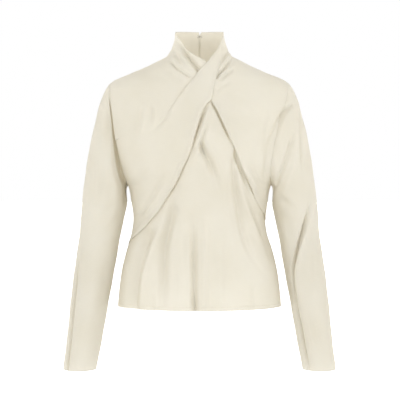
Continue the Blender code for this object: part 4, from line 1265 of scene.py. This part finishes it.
SLEEVE_BACK = {
    -1: (
        Fold(((-196, -200), (-206, -290), (-214, -370)), 9.0, -5.4),
        Fold(((-250, -330), (-222, -366), (-190, -384)), 8.0, -6.1),
        Fold(((-256, -360), (-226, -396), (-188, -410)), 8.0, 4.3),
        Fold(((-262, -404), (-232, -428), (-196, -436)), 8.0, -4.7),
        Fold(((-252, -470), (-246, -560), (-252, -650)), 9.0, -3.6),
    ),
    1: (
        Fold(((190, -206), (204, -290), (216, -364)), 9.0, -5.0),
        Fold(((252, -340), (224, -372), (186, -390)), 8.0, -5.4),
        Fold(((258, -372), (226, -404), (190, -420)), 8.0, 4.7),
        Fold(((262, -416), (230, -440), (198, -448)), 8.0, -4.3),
        Fold(((246, -480), (244, -570), (256, -660)), 9.0, -4.0),
    ),
}


@dataclass
class Stitching:
    """A row of short thread stitches that lies in the cloth along a hem."""

    name: str
    length: float = 2.6
    gap: float = 0.7
    radius: float = 0.22
    thickness: tuple[float, ...] = (0.35, 0.9, 1.0, 0.9, 0.35)

    def build(self, line: Array, normals: Array) -> None:
        """Lay stitches along a closed or open line, as one mesh.

        Each is an arched four-sided tube. At the share t of its length it stands
        radius * (0.4 + 2.4 t (1 - t)) over the cloth and is radius * thickness there.

        Args:
            line: dense points along the row, on the cloth.
            normals: the cloth's outward direction at each.
        """
        run = runs(line)
        pitch = (self.length + self.gap) * MM
        count, rings = int(run[-1] / pitch), len(self.thickness)
        t = np.linspace(0, 1, rings)
        at = np.arange(count)[:, None] * pitch + t * self.length * MM
        centre, out = (read_line(np.interp, at, run, values)[:, :, None] for values in (line, normals))
        aside = np.cross(unit(np.gradient(centre, axis=1)), out)
        thick = self.radius * MM * np.array(self.thickness)[:, None, None]
        turn = np.radians([45, 135, 225, 315])[:, None]
        stand = self.radius * MM * (0.4 + 2.4 * t * (1 - t))[:, None, None]
        points = centre + out * stand + (np.cos(turn) * aside + np.sin(turn) * out) * thick
        first = 4 * (rings - 1)
        caps = [[3, 2, 1, 0], [first, first + 1, first + 2, first + 3]]
        one = np.concatenate([quads(rings, 4, True), caps])
        faces = (one + 4 * rings * np.arange(count)[:, None, None]).reshape(-1, 4)
        sew_on(mesh_piece(self.name, points, faces, THREAD))


@dataclass
class CentreBackZip:
    """Concealed zip: woven tapes and coil inside the centre back, and its slider, pull, hook and eye."""

    top: float = -0.020
    foot: float = -0.220
    tape_width: float = 11.0
    tape_rise: float = 1.3
    tape_from: float = 0.4
    tape_wall: float = 0.0003
    tape_grid: tuple[int, int] = (160, 12)
    coil_pitch: float = 1.4
    coil_radius: float = 0.7
    wire_radius: float = 0.22
    wire_sides: int = 6

    def inside(self, across: Array, height: Array, depth: float) -> Array:
        """Points inside the centre back, across it and depth millimetres in from the cloth's middle."""
        across, height = np.broadcast_arrays(across, height)
        angle = math.pi - np.arcsin(across / FORM.size(height, "half_width"))
        places = np.stack([angle, FORM.level_of(height)], axis=-1)
        return FORM.point(places) - FORM.outward(places) * depth * MM

    def tape(self, side: int) -> None:
        """One tape: a thin woven strip from beside the coil outwards, wavy at its free edge."""
        rows, across = self.tape_grid
        height = np.linspace(self.top, self.foot, rows)[:, None]
        share = np.linspace(0, 1, across)[None, :]
        out = side * (self.tape_from + (self.tape_width - self.tape_from) * share) * MM
        points = self.inside(out, height, self.tape_rise)
        points[..., 1] -= 0.25 * MM * np.sin(height * 210) * share**2
        name = f"zip_tape_{'left' if side < 0 else 'right'}"
        made = mesh_piece(name, points, quads(rows, across, False), TAPE)
        add_wall(made, self.tape_wall)
        sew_on(made)

    def coil(self) -> None:
        """The closed coil: a flattened helix of fine wire along the seam."""
        turns = (self.top - self.foot) / (self.coil_pitch * MM)
        t = np.linspace(0, 1, int(turns * 12))
        height = self.top + (self.foot - self.top) * t
        angle = FULL_TURN * turns * t
        centre = self.inside(self.coil_radius * MM * 1.6 * np.cos(angle), height, self.tape_rise + 0.9)
        centre[:, 1] += self.coil_radius * MM * np.sin(angle)
        along = unit(np.gradient(centre, axis=0))
        aside = unit(np.cross(along, [0.0, 1.0, 0.0]))
        other = np.cross(along, aside)
        turn = np.linspace(0, FULL_TURN, self.wire_sides, endpoint=False)[None, :, None]
        round_wire = np.cos(turn) * aside[:, None] + np.sin(turn) * other[:, None]
        points = centre[:, None] + self.wire_radius * MM * round_wire
        sew_on(mesh_piece("zip_coil", points, quads(len(t), self.wire_sides, True), THREAD))

    def dress(self) -> None:
        """Give the CAD's slider, pull, hook and eye their finishes."""
        finishes = {"zip_slider": ENAMEL, "zip_pull": ENAMEL, "neck_hook": NICKEL, "neck_eye": NICKEL}
        for node, finish in finishes.items():
            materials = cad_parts[node].data.materials
            materials.clear()
            materials.append(finish)

    def build(self) -> None:
        """Make the tapes and the coil, and dress the metal."""
        self.tape(-1)
        self.tape(1)
        self.coil()
        self.dress()


@dataclass
class Hems:
    """The row of stitching round the hem."""

    body_rise: float = 0.008
    samples: int = 1200
    sink: float = 0.1

    def build(self) -> None:
        """Lay the row on the hem's outside, over the same folds as the cloth's."""
        turn = np.linspace(0, FULL_TURN, self.samples)
        level = np.full_like(turn, FORM.level_of(FORM.hem + self.body_rise))
        places = np.stack([turn - math.pi, level], axis=-1)
        line, out = FORM.point(places), FORM.outward(places)
        front, back = line[:, 1] < 0, line[:, 1] > 0
        flat = np.where(front[:, None], FORM.seen(line), line[:, [0, 2]])
        from_side = (math.pi / 2 - np.abs(np.arcsin(np.sin(turn - math.pi)))) * 0.12
        keep = ease(from_side, 0.0, 0.016)
        lift = drape(flat, FrontLower.folds) * front * keep
        lift += drape(flat, BACK_FOLDS_LEFT + BACK_FOLDS_RIGHT) * back * keep
        lift += np.where(front, ripple(flat, FrontLower.phase, FrontLower.slack), 0) * keep
        lift += np.where(back, ripple(flat, Back.phase + np.sign(line[:, 0]), Back.slack), 0) * keep
        Stitching("hem_stitching").build(line + out * (lift - self.sink * MM)[:, None], out)


@dataclass
class Studio:
    """Pale floor, soft light and a camera at the photograph's angle."""

    floor: float = -1.40
    half_floor: float = 60.0
    distance: float = 2.70
    camera_height: float = -0.27
    view_width: float = 0.88
    white_from: float = 3.2
    surround_light: float = 1.02
    aim: tuple[float, float] = (0.0011, -0.3146)

    def build(self) -> None:
        """Make the floor, the world, the lights and the camera."""
        self.ground()
        self.world()
        self.softbox("key_light", (2.5, -1.9, 0.3), (1.4, 1.8), 11.0)
        self.softbox("fill_light", (-1.4, -2.5, -0.7), (1.6, 1.6), 9.0)
        self.camera()

    def ground(self) -> None:
        """A wide floor where the wearer would stand. It is lit up from white_from outwards."""
        square = ((-1, -1), (1, -1), (1, 1), (-1, 1))
        corners = np.array([(self.half_floor * x, self.half_floor * y, self.floor) for x, y in square])
        nodes = Nodes("pale_floor")
        place = nodes.add("ShaderNodeTexCoord", None, None, "Object")
        flat = nodes.add("ShaderNodeVectorMath", {"operation": "MULTIPLY"}, {0: place, 1: (1.0, 1.0, 0.0)})
        away = nodes.add("ShaderNodeVectorMath", {"operation": "LENGTH"}, {0: flat}, "Value")
        share = away * (1 / self.white_from)
        stops = ((0.55, (0.0, 0.0, 0.0, 1.0)), (1.0, WHITE))
        glow = nodes.add("ShaderNodeValToRGB", {"stops": stops}, {0: share})
        nodes.shade(Base_Color=(0.80, 0.79, 0.77, 1.0), Roughness=0.9,
                    Emission_Color=glow, Emission_Strength=0.9)
        mesh_piece("floor", corners, np.array([[0, 1, 2, 3]]), nodes.material)

    def world(self) -> None:
        """A white surround that lights the top by surround_light only."""
        scene = bpy.context.scene
        scene.world = bpy.data.worlds.new("surround")
        scene.world.use_nodes = True
        tree = scene.world.node_tree
        path = tree.nodes.new("ShaderNodeLightPath")
        strength = tree.nodes.new("ShaderNodeMix")
        strength.inputs["A"].default_value = self.surround_light
        strength.inputs["B"].default_value = 1.0
        tree.links.new(path.outputs["Is Camera Ray"], strength.inputs["Factor"])
        background = tree.nodes["Background"]
        background.inputs["Color"].default_value = WHITE
        tree.links.new(strength.outputs["Result"], background.inputs["Strength"])
        scene.view_settings.view_transform = "Standard"

    def softbox(self, name: str, place: tuple[float, float, float], size: tuple[float, float],
                power: float) -> None:
        """An area light that faces the middle of the top."""
        light = bpy.data.lights.new(name, "AREA")
        light.shape = "RECTANGLE"
        light.size, light.size_y = size
        light.energy = power
        self.aimed(light, place, (0.0, 0.0, self.aim[1]))

    @staticmethod
    def aimed(data: bpy.types.ID, place: tuple, target: tuple) -> bpy.types.Object:
        """An object of this light or camera, at a place and turned to a target."""
        made = linked(data.name, data)
        made.location = place
        made.rotation_mode = "QUATERNION"
        made.rotation_quaternion = (Vector(target) - made.location).to_track_quat("-Z", "Y")
        return made

    def camera(self) -> None:
        """A long lens, level with the chest, whose view is view_width across at the shoulders' plane."""
        lens = bpy.data.cameras.new("camera")
        lens.sensor_width = 36.0
        lens.lens = lens.sensor_width * self.distance / self.view_width
        place, target = (self.aim[0], -self.distance, self.camera_height), (self.aim[0], 0.0, self.aim[1])
        bpy.context.scene.camera = self.aimed(lens, place, target)


def main() -> None:
    """Build and dress every piece in order."""
    logging.basicConfig(level=logging.INFO, format="%(message)s")
    pieces = (
        FrontLower(),
        FrontRight(),
        FrontLeft(),
        Back("back_left_cloth", "back_left", side=-1, folds=BACK_FOLDS_LEFT),
        Back("back_right_cloth", "back_right", side=1, notch_width=0.0048, folds=BACK_FOLDS_RIGHT),
        Sleeve("sleeve_left_cloth", "sleeve_left", side=-1, tuck_under=5.0, gap_depth=27.0,
               front_folds=LEFT_SLEEVE_FRONT, back_folds=SLEEVE_BACK[-1]),
        Sleeve("sleeve_right_cloth", "sleeve_right", side=1, tuck_under=0.0, seam_folds=RIGHT_ARMHOLE_FOLDS,
               front_folds=RIGHT_SLEEVE_FRONT, back_folds=SLEEVE_BACK[1]),
        CentreBackZip(),
        Hems(),
        Studio(),
    )
    for piece in pieces:
        piece.build()
        LOG.info("built %s", type(piece).__name__)


if __name__ == "__main__":
    main()
